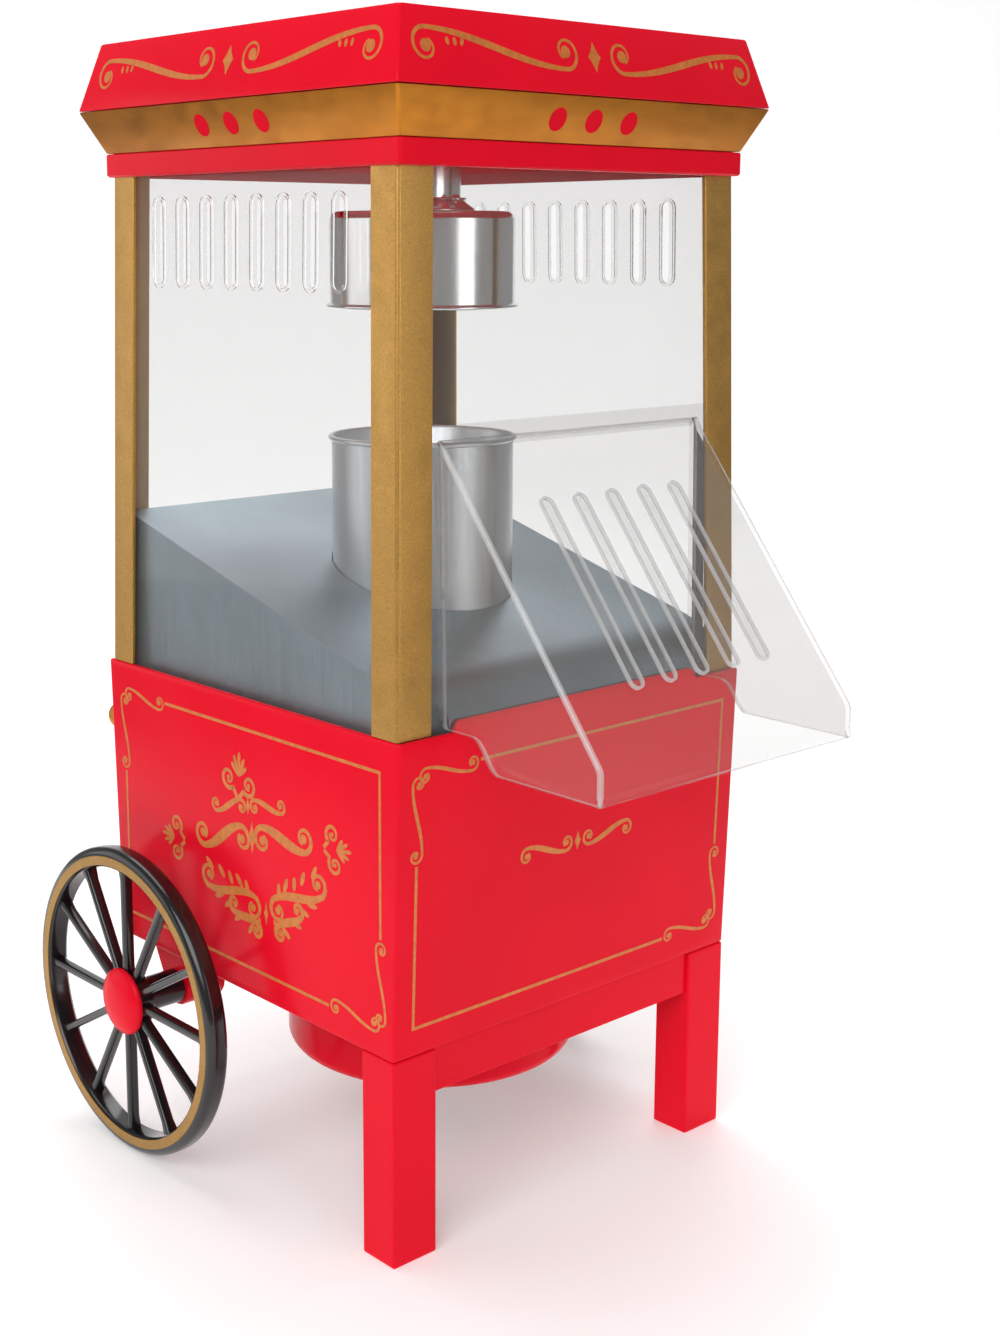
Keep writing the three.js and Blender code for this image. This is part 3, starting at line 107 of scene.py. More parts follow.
WINDOW_FOOT = np.array([95.3, 95.6])
WINDOW_LEAN = np.array([4.8, 4.3])
BAND_BOTTOM = CANOPY_LOW[2]
WINDOW_HEIGHT = BAND_BOTTOM - CABINET_TOP
CORNICE_BOTTOM = CORNICE_LOW[2]
RIDGE = CORNICE_HIGH[2] + GAP
ROOF_TOP = CANOPY_HIGH[2]
BAND_HALF = WINDOW_FOOT - WINDOW_LEAN + [1.6, 3.1]
RIDGE_HALF = np.array([CANOPY_HIGH[0], CANOPY_HIGH[1]])
ROOF_HALF = RIDGE_HALF - 7.4


def between(node):
    """The middle of a CAD node's box."""
    return sum(span(node)) / 2


def window_half(z):
    """Half width and half depth over the corner posts, shrinking evenly with height."""
    return WINDOW_FOOT - WINDOW_LEAN * (z - CABINET_TOP) / WINDOW_HEIGHT


def cabinet_half(z):
    """Half width and half depth of the cabinet, its front and back leaning in towards the floor."""
    return CABINET_HALF - CABINET_LEAN * (CABINET_TOP - z) / (CABINET_TOP - CABINET_BOTTOM)


# ---------------------------------------------------------------- sizes and colours a user may change

class PopcornSizes(PropertyGroup):
    """Small shaping sizes of the maker's pieces."""
    corner_radius: FloatProperty(name="Corner radius", default=0.0012, unit="LENGTH",
                                 description="Rounding of the upright corners of the red boxes")
    edge_radius: FloatProperty(name="Edge radius", default=0.0008, unit="LENGTH",
                               description="Rounding of the level edges of the red boxes")
    line_width: FloatProperty(name="Pinstripe width", default=0.0013, unit="LENGTH",
                              description="Width of the printed gold border lines")
    print_height: FloatProperty(name="Print height", default=0.00008, unit="LENGTH",
                                description="How far printed gold stands proud of the plastic")
    chute_wall: FloatProperty(name="Chute wall", default=0.0022, unit="LENGTH",
                              description="Thickness of the clear chute hood")
    turned_steps: IntProperty(name="Steps round", default=96, description="Points round a turned piece")


class PopcornColours(PropertyGroup):
    """Main colours of the maker's finishes."""
    red: FloatVectorProperty(name="Red", subtype="COLOR", size=3, default=(0.82, 0.005, 0.022),
                             description="Gloss red plastic")
    post_gold: FloatVectorProperty(name="Post gold", subtype="COLOR", size=3, default=(0.56, 0.31, 0.080),
                                   description="Gold paint of the corner posts and wheel rings")
    cornice_gold: FloatVectorProperty(name="Cornice gold", subtype="COLOR", size=3,
                                      default=(0.55, 0.20, 0.016),
                                      description="Gold plastic of the cornice and handle")
    print_gold: FloatVectorProperty(name="Print gold", subtype="COLOR", size=3, default=(0.66, 0.20, 0.035),
                                    description="Printed gold lines and scrolls")
    black: FloatVectorProperty(name="Black", subtype="COLOR", size=3, default=(0.008, 0.008, 0.009),
                               description="Gloss black plastic of the wheels")
    ramp: FloatVectorProperty(name="Ramp steel", subtype="COLOR", size=3, default=(0.32, 0.39, 0.44),
                              description="Brushed sheet of the popcorn ramp")


def sizes():
    """The size settings of this scene."""
    return bpy.context.scene.popcorn_sizes


def colours():
    """The colour settings of this scene."""
    return bpy.context.scene.popcorn_colours


# ---------------------------------------------------------------- surfaces

def grid(rows, columns, wrap_rows=False, wrap_columns=False):
    """Four-sided faces between neighbours of a grid of points; a wrapped direction joins end to start."""
    row, column = np.meshgrid(np.arange(rows if wrap_rows else rows - 1),
                              np.arange(columns if wrap_columns else columns - 1), indexing="ij")
    below, beside = (row + 1) % rows, (column + 1) % columns
    corners = (row * columns + column, row * columns + beside,
               below * columns + beside, below * columns + column)
    return np.stack(corners, -1).reshape(-1, 4)


def shell(points, quads, caps=()):
    """A closed surface with its faces outwards: they are turned round where the volume they enclose,
    a sixth of the sum of corner triple products, comes out negative."""
    a, b, c, d = (points[quads[:, i]] for i in range(4))
    volume = np.sum(a * (np.cross(b, c) + np.cross(c, d)))
    for cap in caps:
        ring = points[cap]
        volume += np.sum(ring[0] * np.cross(ring[1:-1], ring[2:]))
    faces = quads.tolist() + [list(cap) for cap in caps]
    return points, faces if volume > 0 else [face[::-1] for face in faces]


def stack(loops, closed=False):
    """Loops of equally many points joined row to row, then back to the first or capped at both ends."""
    rows, columns = loops.shape[:2]
    points = loops.reshape(-1, 3)
    if closed:
        return shell(points, grid(rows, columns, True, True))
    first = np.arange(columns)[::-1]
    last = np.arange(columns) + (rows - 1) * columns
    return shell(points, grid(rows, columns, False, True), [first.tolist(), last.tolist()])


AXES = {"x": (2, 0, 1), "y": (0, 2, 1), "z": (0, 1, 2)}


def turned(profile, centre, axis="z", steps=None):
    """A profile of radius and height carried round an axis: each point is the radius times the cosine
    and sine of its angle, with the height along the axis. A profile that ends where it starts is a ring."""
    profile = np.asarray(profile, float)
    ring = np.allclose(profile[0], profile[-1])
    if ring:
        profile = profile[:-1]
    steps = steps or sizes().turned_steps
    angle = np.linspace(0, 2 * np.pi, steps, endpoint=False)
    radius, height = profile[:, :1], profile[:, 1:]
    local = np.stack((radius * np.cos(angle), radius * np.sin(angle), height + 0 * angle), -1)
    points = local[..., list(AXES[axis])].reshape(-1, 3) + np.asarray(centre, float)
    return shell(points, grid(len(profile), steps, ring, True))


def arc(centre, radius, start, end, steps=6):
    """Points of a circle's arc, from one angle in degrees to another."""
    angle = np.radians(np.linspace(start, end, steps + 1))
    return np.asarray(centre, float) + radius * np.stack((np.cos(angle), np.sin(angle)), 1)


def rounded_loops(rows, steps=6, front=()):
    """Level rectangles with quarter-circle corners, one for each row of half width, half depth, corner
    radius and height. Extra points stand on the front side at given shares of its straight part."""
    half_x, half_y, radius, height = np.asarray(rows, float).T[:, :, None]
    inner_x, inner_y = half_x - radius, half_y - radius
    front = np.asarray(front, float)[None, :]
    xs, ys = [inner_x * front], [-half_y + 0 * front]
    for sign_x, sign_y, start in ((1, -1, -90), (1, 1, 0), (-1, 1, 90), (-1, -1, 180)):
        angle = np.radians(np.linspace(start, start + 90, steps + 1))[None, :]
        xs.append(sign_x * inner_x + radius * np.cos(angle))
        ys.append(sign_y * inner_y + radius * np.sin(angle))
    x, y = np.concatenate(xs, 1), np.concatenate(ys, 1)
    return np.stack((x, y, height + 0 * x), -1)


def face_of(side, low, high, low_z, high_z):
    """The flat face between two level rectangles on one side: its origin at the middle of the lower
    edge, the direction along it to the right as seen from outside, and the direction up it."""
    turn = {"front": (0, -1), "right": (1, 0), "rear": (0, 1), "left": (-1, 0)}[side]
    outward = np.array([*turn, 0.0])
    along = np.array([-turn[1], turn[0], 0.0])
    axis = 0 if turn[0] else 1
    up = outward * (high[axis] - low[axis]) + np.array([0, 0, high_z - low_z])
    return outward * low[axis] + np.array([0, 0, low_z]), along, up / np.linalg.norm(up)


def on_face(face, flat, height):
    """Points of a face's own plan lifted a height above it, along the cross product of its directions."""
    origin, along, up = face
    normal = np.cross(along, up)
    return origin + flat[..., :1] * along + flat[..., 1:] * up + height * normal


def plate(outline, face, low, high):
    """An outline on a face given a thickness: two copies of it, at a low and a high level, joined."""
    return stack(np.stack([on_face(face, outline, low), on_face(face, outline, high)]))


def side_steps(path, closed=False):
    """Unit vectors square to a flat path, turned a quarter round from its central differences."""
    if closed:
        run = np.roll(path, -1, 0) - np.roll(path, 1, 0)
    else:
        run = np.gradient(path, axis=0)
    run /= np.linalg.norm(run, axis=1, keepdims=True)
    return np.stack((-run[:, 1], run[:, 0]), 1)


def stroke(path, half, face, low, high, closed=False):
    """A flat line of changing width: the path moved half a width to each side, at two levels."""
    beside = side_steps(path, closed) * np.reshape(half, (-1, 1))
    corners = [on_face(face, path + beside, low), on_face(face, path - beside, low),
               on_face(face, path - beside, high), on_face(face, path + beside, high)]
    loops = np.stack(corners, 1)
    return stack(loops, closed)


def pill(x, low, high, half, steps=8):
    """An upright slot outline: two half circles joined by straight sides."""
    return np.concatenate((arc((x, high - half), half, 0, 180, steps),
                           arc((x, low + half), half, 180, 360, steps)))


def ellipse(centre, half_x, half_y, tilt=0.0, steps=28):
    """An ellipse turned by a tilt in degrees."""
    angle = np.linspace(0, 2 * np.pi, steps, endpoint=False)
    flat = np.stack((half_x * np.cos(angle), half_y * np.sin(angle)), 1)
    c, s = math.cos(math.radians(tilt)), math.sin(math.radians(tilt))
    return np.asarray(centre) + flat @ np.array([[c, s], [-s, c]])


def placed(path, centre, turn=0.0, mirror=1):
    """A flat path mirrored left to right or not, turned by degrees and moved to a centre."""
    c, s = math.cos(math.radians(turn)), math.sin(math.radians(turn))
    return (path * [mirror, 1]) @ np.array([[c, s], [-s, c]]) + np.asarray(centre, float)


# ---------------------------------------------------------------- putting pieces in the scene

SHARP = 35.0                # degrees between faces past which an edge stays sharp


def piece(name, parts, look, body, *replaces, sharp=SHARP):
    """One object of one or more closed parts, in metres and in its place, riding on a body."""
    offsets = np.cumsum([0] + [len(points) for points, _ in parts[:-1]])
    points = np.concatenate([points for points, _ in parts]) + [0, MIDDLE_Y, 0]
    faces = [[i + int(offset) for i in face] for offset, (_, part) in zip(offsets, parts) for face in part]
    mesh = bpy.data.meshes.new(name)
    mesh.from_pydata((points * MM).tolist(), [], faces)
    edit = bmesh.new()
    edit.from_mesh(mesh)
    bmesh.ops.remove_doubles(edit, verts=edit.verts, dist=1e-8)
    bmesh.ops.dissolve_degenerate(edit, edges=edit.edges, dist=1e-8)
    edit.to_mesh(mesh)
    edit.free()
    return finished(name, mesh, look, body, *replaces, sharp=sharp)


def finished(name, mesh, look, body, *replaces, sharp=SHARP):
    """Smooth shading up to an angle, a finish, and the body and CAD nodes a mesh stands for."""
    mesh.shade_smooth()
    mesh.set_sharp_from_angle(angle=math.radians(sharp))
    mesh.materials.append(finish(look))
    thing = bpy.data.objects.new(name, mesh)
    bpy.context.scene.collection.objects.link(thing)
    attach(thing, body)
    if replaces:
        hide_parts(*replaces)
    return thing


def softened(name, node, look, body, width, segments=2, sharp=SHARP):
    """A CAD node's surface with its loose triangles merged and, given a width, its edges bevelled."""
    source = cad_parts[node].data
    points = np.empty(len(source.vertices) * 3)
    source.vertices.foreach_get("co", points)
    corners = np.empty(len(source.loops), int)
    source.loops.foreach_get("vertex_index", corners)
    mesh = bpy.data.meshes.new(name)
    mesh.from_pydata(points.reshape(-1, 3).tolist(), [], corners.reshape(-1, 3).tolist())
    edit = bmesh.new()
    edit.from_mesh(mesh)
    bmesh.ops.remove_doubles(edit, verts=edit.verts, dist=1e-6)
    if width:
        bmesh.ops.dissolve_limit(edit, angle_limit=math.radians(0.5), verts=edit.verts, edges=edit.edges)
    edit.to_mesh(mesh)
    edit.free()
    thing = finished(name, mesh, look, body, node, sharp=sharp)
    if width:
        bevel = thing.modifiers.new("edges", "BEVEL")
        bevel.width = width * MM
        bevel.segments = segments
        bevel.limit_method = "ANGLE"
        bevel.angle_limit = math.radians(30)
        bevel.harden_normals = True
    return thing


def repaint(look, *nodes):
    """A CAD node whose shape is right keeps it and takes a finish."""
    for node in nodes:
        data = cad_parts[node].data
        data.materials.clear()
        data.materials.append(finish(look))


# ---------------------------------------------------------------- finishes

FINISHES = {}


class Finish:
    """A Principled material kept by a short key, with patterns on Object coordinates."""

    def __init__(self, key, name, colour, roughness, **sockets):
        self.material = FINISHES[key] = bpy.data.materials.new(name)
        self.material.use_nodes = True
        self.nodes = self.material.node_tree.nodes
        self.links = self.material.node_tree.links
        self.base = self.nodes["Principled BSDF"]
        self.base.inputs["Base Color"].default_value = (*colour, 1)
        self.base.inputs["Roughness"].default_value = roughness
        for socket, value in sockets.items():
            self.base.inputs[socket.replace("_", " ")].default_value = value
        self.place = self.nodes.new("ShaderNodeTexCoord").outputs["Object"]
        self.height = None

    def stretched(self, scale):
        """Object coordinates with each axis scaled, so that a pattern is drawn out along one."""
        mapping = self.nodes.new("ShaderNodeMapping")
        mapping.inputs["Scale"].default_value = scale
        self.links.new(self.place, mapping.inputs["Vector"])
        return mapping.outputs["Vector"]

    def noise(self, scale, detail=3.0, stretch=None, rough=0.5):
        """Cloudy noise, its cells about one over the scale wide in metres."""
        node = self.nodes.new("ShaderNodeTexNoise")
        node.inputs["Scale"].default_value = scale
        node.inputs["Detail"].default_value = detail
        node.inputs["Roughness"].default_value = rough
        self.links.new(self.stretched(stretch) if stretch else self.place, node.inputs["Vector"])
        return node.outputs["Fac"]

    def cells(self, scale):
        """Random flat values on small cells, for metal flake."""
        node = self.nodes.new("ShaderNodeTexVoronoi")
        node.inputs["Scale"].default_value = scale
        self.links.new(self.place, node.inputs["Vector"])
        return node.outputs["Color"]

    def ramp(self, value, stops):
        """A value turned into a colour through stops of position and colour."""
        node = self.nodes.new("ShaderNodeValToRGB")
        while len(node.color_ramp.elements) < len(stops):
            node.color_ramp.elements.new(0.5)
        for element, (position, colour) in zip(node.color_ramp.elements, stops):
            element.position = position
            element.color = (*colour, 1)
        self.links.new(value, node.inputs["Fac"])
        return node.outputs["Color"]

    def colour(self, value, stops):
        """Colours the base through a ramp."""
        self.links.new(self.ramp(value, stops), self.base.inputs["Base Color"])
        return self

    def roughness(self, value, low, high):
        """Lets the roughness wander between two values."""
        node = self.nodes.new("ShaderNodeMapRange")
        node.inputs["From Min"].default_value = 0.3
        node.inputs["From Max"].default_value = 0.7
        node.inputs["To Min"].default_value = low
        node.inputs["To Max"].default_value = high
        self.links.new(value, node.inputs["Value"])
        self.links.new(node.outputs["Result"], self.base.inputs["Roughness"])
        return self

    def glow_with_distance(self, reach, strength):
        """Lets the emission rise with the distance from the origin."""
        length = self.nodes.new("ShaderNodeVectorMath")
        length.operation = "LENGTH"
        self.links.new(self.place, length.inputs[0])
        node = self.nodes.new("ShaderNodeMapRange")
        node.inputs["From Min"].default_value, node.inputs["From Max"].default_value = reach
        node.inputs["To Min"].default_value, node.inputs["To Max"].default_value = strength
        self.links.new(length.outputs["Value"], node.inputs["Value"])
        self.links.new(node.outputs["Result"], self.base.inputs["Emission Strength"])

    def bump(self, value, strength, distance):
        """Adds a bump over the ones before it."""
        node = self.nodes.new("ShaderNodeBump")
        node.inputs["Strength"].default_value = strength
        node.inputs["Distance"].default_value = distance * MM
        self.links.new(value, node.inputs["Height"])
        if self.height:
            self.links.new(self.height, node.inputs["Normal"])
        self.height = node.outputs["Normal"]
        self.links.new(self.height, self.base.inputs["Normal"])
        return self


def shades(colour, *factors):
    """A colour made darker or lighter by each factor."""
    return [tuple(min(1.0, channel * factor) for channel in colour) for factor in factors]


def painted_finishes(c):
    """Red plastic, gold paints and print, and the dark plastics."""
    red = Finish("red", "red_gloss_plastic", c.red, 0.2, Specular_IOR_Level=0.08)
    dark, light = shades(c.red, 0.93, 1.05)
    red.colour(red.noise(9, 2), [(0.35, dark), (0.65, light)])
    red.roughness(red.noise(60, 4), 0.16, 0.26)
    red.bump(red.noise(700, 2), 0.06, 0.05).bump(red.noise(45, 1), 0.05, 0.4)

    cap_red = Finish("cap_red", "red_cap_plastic", c.red, 0.22, Specular_IOR_Level=0.4)
    cap_red.bump(cap_red.noise(900, 2), 0.05, 0.05)

    for key, tone in (("post_gold", 1.0), ("ring_gold", 0.7)):
        gold = Finish(key, key + "_paint", c.post_gold, 0.42, Metallic=0.85,
                      Coat_Weight=0.1, Coat_Roughness=0.2)
        dark, middle, light = shades(c.post_gold, 0.86 * tone, tone, 1.16 * tone)
        gold.colour(gold.cells(2600), [(0.1, dark), (0.5, middle), (0.9, light)])
        gold.roughness(gold.noise(120, 3), 0.34, 0.5)
        gold.bump(gold.noise(2400, 2), 0.12, 0.03)

    cornice = Finish("cornice_gold", "gold_cornice_plastic", c.cornice_gold, 0.36, Metallic=0.9,
                     Coat_Weight=0.1, Coat_Roughness=0.15)
    dark, middle, light = shades(c.cornice_gold, 0.88, 1.0, 1.1)
    cornice.colour(cornice.noise(60, 5, (1, 1, 3)), [(0.3, dark), (0.5, middle), (0.7, light)])
    cornice.roughness(cornice.noise(90, 4), 0.3, 0.46)
    cornice.bump(cornice.noise(1200, 2), 0.08, 0.04)

    printed = Finish("print", "gold_print", c.print_gold, 0.4, Metallic=0.15)
    dark, light = shades(c.print_gold, 0.82, 1.12)
    printed.colour(printed.noise(420, 3), [(0.3, dark), (0.7, light)])

    black = Finish("black", "black_gloss_plastic", c.black, 0.17, Specular_IOR_Level=0.5,
                   Coat_Weight=0.3, Coat_Roughness=0.08)
    black.roughness(black.noise(70, 5), 0.13, 0.26)
    black.bump(black.noise(900, 2), 0.06, 0.04)

    dull = Finish("dark", "dark_moulded_plastic", (0.022, 0.022, 0.024), 0.5)
    dull.roughness(dull.noise(80, 3), 0.42, 0.6)
    dull.bump(dull.noise(1800, 3), 0.25, 0.06)


def clear_finishes():
    """Clear plastic: see-through walls are thin alpha under a gloss coat, so that nothing behind them is
    bent, and only the vent rims refract."""
    pane = Finish("window", "clear_window_plastic", (0.36, 0.34, 0.32), 0.03, Alpha=0.1,
                  Coat_Weight=1.0, Coat_Roughness=0.02)
    pane.roughness(pane.noise(25, 4), 0.02, 0.08)

    hood = Finish("chute", "clear_chute_plastic", (0.34, 0.32, 0.29), 0.03, Alpha=0.13,
                  Coat_Weight=1.0, Coat_Roughness=0.02)
    hood.roughness(hood.noise(30, 4), 0.02, 0.07)
    hood.bump(hood.noise(40, 1), 0.06, 0.3)

    thick = Finish("thick", "clear_thick_plastic", (0.97, 0.97, 0.96), 0.02,
                   Transmission_Weight=1.0, IOR=1.49)
    thick.roughness(thick.noise(50, 3), 0.01, 0.05)

    # The edge finish is lighter and less see-through than the walls: a painted highlight for the bright lines
    # that clear plastic shows along its bends, rims and rib outlines.
    edge = Finish("edge", "clear_plastic_painted_edge_highlight", (0.72, 0.73, 0.73), 0.08, Alpha=0.45,
                  Coat_Weight=1.0, Coat_Roughness=0.03)
    edge.roughness(edge.noise(50, 3), 0.05, 0.14)


def metal_finishes(c):
    """Chrome with painted reflection streaks, sheet metals and the heater's mica and wire."""
    chrome = Finish("chrome", "kettle_chrome_painted_reflection", (0.84, 0.83, 0.81), 0.12, Metallic=1.0)
    # Upright streaks of darker and lighter grey in the base colour: partly smudges and partly painted
    # reflection, standing in for the bright and dark surroundings the chrome mirrors.
    chrome.colour(chrome.noise(22, 6, (1, 1, 0.35), 0.6),
                  [(0.30, (0.62, 0.61, 0.59)), (0.45, (0.84, 0.84, 0.83)), (0.7, (0.95, 0.95, 0.95))])
    chrome.roughness(chrome.noise(60, 5, (1, 1, 0.12)), 0.12, 0.26)
    chrome.bump(chrome.noise(55, 2, (1, 1, 0.05)), 0.12, 0.5)

    ramp = Finish("ramp", "ramp_brushed_steel", c.ramp, 0.38, Metallic=0.9, Anisotropic=0.5)
    dark, light = shades(c.ramp, 0.85, 1.12)
    ramp.colour(ramp.noise(14, 5), [(0.3, dark), (0.7, light)])
    ramp.roughness(ramp.noise(900, 3, (1, 1, 0.03)), 0.3, 0.5)
    ramp.bump(ramp.noise(1400, 3, (1, 1, 0.02)), 0.12, 0.03)

    zinc = Finish("zinc", "zinc_plated_steel", (0.55, 0.56, 0.55), 0.35, Metallic=1.0)
    zinc.colour(zinc.cells(260), [(0.2, (0.46, 0.47, 0.47)), (0.8, (0.62, 0.62, 0.60))])
    zinc.roughness(zinc.noise(300, 3), 0.28, 0.45)

    sheet = Finish("aluminium", "aluminium_sheet", (0.74, 0.77, 0.79), 0.34, Metallic=0.9)
    sheet.roughness(sheet.noise(700, 3, (1, 1, 0.05)), 0.28, 0.45)
    sheet.bump(sheet.noise(900, 2, (1, 1, 0.04)), 0.1, 0.03)

    mica = Finish("mica", "mica_board", (0.62, 0.54, 0.38), 0.55)
    mica.colour(mica.cells(900), [(0.2, (0.52, 0.44, 0.29)), (0.8, (0.72, 0.65, 0.48))])
    mica.bump(mica.noise(1500, 2), 0.2, 0.03)

    wire = Finish("wire", "heater_wire", (0.16, 0.14, 0.13), 0.4, Metallic=1.0)
    wire.roughness(wire.noise(600, 2), 0.3, 0.55)

    steel = Finish("black_steel", "black_steel", (0.02, 0.02, 0.022), 0.28, Metallic=0.6)
    steel.roughness(steel.noise(400, 3), 0.2, 0.4)


def finish(key):
    """A finish by its key; the first call for one makes them all."""
    if key not in FINISHES:
        painted_finishes(colours())
        clear_finishes()
        metal_finishes(colours())
    return FINISHES[key]


# ---------------------------------------------------------------- camera and stage

CAMERA_PLACE = (-0.5253, -0.5749, 0.390)
CAMERA_TILT, CAMERA_TURN = math.radians(79.18), math.radians(-41.59)
CAMERA_LENS, CAMERA_SENSOR = 50.55, 36
CAMERA_SHIFT = (0.0525, -0.0509)
SKY_STRENGTH = 0.26
LAMPS = (("key", (-1.5, -0.9, 1.3), (1.6, 1.4), 25), ("side", (-1.6, 1.5, 0.6), (2.0, 1.4), 9),
         ("front", (0.45, -1.8, 0.55), (0.7, 1.2), 6), ("top", (0.3, 0.6, 2.0), (1.6, 1.6), 25))
LAMPS_FACE = Vector((0, 0, 0.25))
FLOOR_START, FLOOR_END = [-0.6, 0.0], [3.2, 4.0]      # distance from the maker and height, in metres
FLOOR_BEND = 1.2
FLOOR_HALF, FLOOR_SPREAD = 0.45, 0.30                 # half width at its start, and its growth per metre
FLOOR_COLUMNS = 9


class PopcornStage(Operator):
    """Camera, pale floor and soft studio light"""
    bl_idname = "popcorn.stage"
    bl_label = "Stage"

    def execute(self, context):
        scene = context.scene
        camera_data = bpy.data.cameras.new("camera")
        camera = bpy.data.objects.new("camera", camera_data)
        camera.location = CAMERA_PLACE
        camera.rotation_euler = Euler((CAMERA_TILT, 0, CAMERA_TURN))
        camera_data.sensor_width = CAMERA_SENSOR
        camera_data.sensor_fit = "AUTO"
        camera_data.lens = CAMERA_LENS
        camera_data.shift_x, camera_data.shift_y = CAMERA_SHIFT
        camera_data.clip_end = 50
        scene.collection.objects.link(camera)
        scene.camera = camera
        scene.view_settings.view_transform = "Standard"

        world = bpy.data.worlds.new("studio")
        world.use_nodes = True
        background = world.node_tree.nodes["Background"]
        background.inputs["Color"].default_value = (1, 1, 1, 1)
        background.inputs["Strength"].default_value = SKY_STRENGTH
        scene.world = world

        self.floor(scene)
        for lamp in LAMPS:
            self.soft_light(scene, *lamp)
        return {"FINISHED"}

    def floor(self, scene):
        """A floor that widens evenly away from the camera and curves up into a wall: its height is nought,
        then follows a quarter circle, then rises straight."""
        towards = np.array([math.sin(-CAMERA_TURN), math.cos(-CAMERA_TURN)])
        across = np.array([towards[1], -towards[0]])
        bend = arc((FLOOR_END[0] - FLOOR_BEND, FLOOR_BEND), FLOOR_BEND, -90, 0, 16)
        profile = np.concatenate(([FLOOR_START], bend, [FLOOR_END]))
        distance, height = profile[:, None, :1], profile[:, None, 1:]
        half = FLOOR_HALF + FLOOR_SPREAD * (distance - FLOOR_START[0])
        flat = distance * towards + np.linspace(-1, 1, FLOOR_COLUMNS)[None, :, None] * half * across
        points = np.concatenate((flat, np.repeat(height, FLOOR_COLUMNS, 1)), -1)
        mesh = bpy.data.meshes.new("floor")
        faces = grid(len(profile), FLOOR_COLUMNS)[:, ::-1]
        mesh.from_pydata(points.reshape(-1, 3).tolist(), [], faces.tolist())
        mesh.shade_smooth()
        paper = Finish("paper", "pale_paper", (0.93, 0.93, 0.93), 0.8, Emission_Color=(1, 1, 1, 1))
        paper.bump(paper.noise(400, 2), 0.02, 0.05)
        paper.glow_with_distance((0.35, 1.6), (0.22, 0.50))
        mesh.materials.append(paper.material)
        floor = bpy.data.objects.new("floor", mesh)
        scene.collection.objects.link(floor)

    def soft_light(self, scene, name, place, size, power):
        """A rectangular lamp that faces the middle of the maker."""
        data = bpy.data.lights.new(name, "AREA")
        data.shape = "RECTANGLE"
        data.size, data.size_y = size
        data.energy = power
        lamp = bpy.data.objects.new(name, data)
        lamp.location = place
        lamp.rotation_euler = (LAMPS_FACE - Vector(place)).to_track_quat("-Z", "Y").to_euler()
        scene.collection.objects.link(lamp)


# ---------------------------------------------------------------- cabinet

SILL_HALF = 68.3
SILL_SHOULDER = 3.5
SHOULDER_SHARES = np.linspace(0.66, 0.80, 15)         # where points crowd along the front
CABINET_WALL = 2.2
SWITCH_HOLE = (9.2, 13.2)                             # half width and half height
CORD_HOLE = 5.5
SWITCH_CUT, CORD_CUT = (50, 110), (70, 120)           # from y to y, right through the back wall


class PopcornCabinet(Operator):
    """Red cabinet with its raised sill at the front"""
    bl_idname = "popcorn.cabinet"
    bl_label = "Cabinet"

    def execute(self, context):
        corner, edge = sizes().corner_radius / MM, sizes().edge_radius / MM
        bottom, top, wall = CABINET_BOTTOM, CABINET_TOP, CABINET_WALL

        def row(z, inset, radius):
            """One level outline, drawn in from the cabinet's own by an inset."""
            half = cabinet_half(z) - inset
            return [half[0], half[1], max(radius - inset, 0.3), z]

        ease = np.radians(np.linspace(0, 90, 4))
        outer = [row(bottom + edge * (1 - math.cos(a)), edge * (1 - math.sin(a)), corner) for a in ease]
        outer += [row(z, 0, corner) for z in np.linspace(bottom + 4, top - 4, 6)]
        outer += [row(top - edge * (1 - math.cos(a)), edge * (1 - math.sin(a)), corner) for a in ease[::-1]]
        inner = [row(top, wall - 0.3, corner), row(top - 0.3, wall, corner), row(bottom, wall, corner)]
        shares = np.concatenate((-SHOULDER_SHARES[::-1], np.linspace(-0.6, 0.6, 5), SHOULDER_SHARES))
        loops = rounded_loops(outer + inner, front=shares)
        self.raise_sill(loops, len(shares))
        body = piece("cabinet_body", [stack(loops, closed=True)], "red", "base", "cabinet_shell")
        self.cut_back_holes(body)
        return {"FINISHED"}

    def raise_sill(self, loops, shares):
        """Lifts the top rows of the front wall: by the sill's height in the middle, falling along a
        quarter circle at each shoulder, and in proportion for the rows just below the top."""
        lift = SILL_TOP - CABINET_TOP
        run = np.clip(SILL_HALF - np.abs(loops[:, :shares, 0]), 0, SILL_SHOULDER) / SILL_SHOULDER
        rise = lift * np.sqrt(1 - (1 - run) ** 2)
        share = np.clip(loops[:, :shares, 2] - (CABINET_TOP - 1.0), 0, 1)
        share[-1] = 0
        loops[:, :shares, 2] += rise * share

    def cut_back_holes(self, body):
        """Openings in the back wall for the switch frame and the cord bush."""
        x, _, z = between("switch_bezel")
        start, end = SWITCH_CUT
        back = (np.array([x, (start + end) / 2, z]), np.array([1.0, 0, 0]), np.array([0, 0, 1.0]))
        corners = np.array([[-1, -1], [1, -1], [1, 1], [-1, 1]]) * SWITCH_HOLE
        square = plate(corners, back, (start - end) / 2, (end - start) / 2)
        x, _, z = between("cord_gland")
        start, end = CORD_CUT
        drill = turned([(0, start), (CORD_HOLE, start), (CORD_HOLE, end), (0, end)], (x, 0, z), "y", 32)
        for points, faces in (square, drill):
            mesh = bpy.data.meshes.new("cutter")
            mesh.from_pydata(((points + [0, MIDDLE_Y, 0]) * MM).tolist(), [], faces)
            cutter = bpy.data.objects.new("cutter", mesh)
            bpy.context.scene.collection.objects.link(cutter)
            hole = body.modifiers.new("hole", "BOOLEAN")
            hole.operation = "DIFFERENCE"
            hole.solver = "EXACT"
            hole.object = cutter
            with bpy.context.temp_override(object=body, active_object=body, selected_objects=[body]):
                bpy.ops.object.modifier_apply(modifier=hole.name)
            bpy.data.objects.remove(cutter)


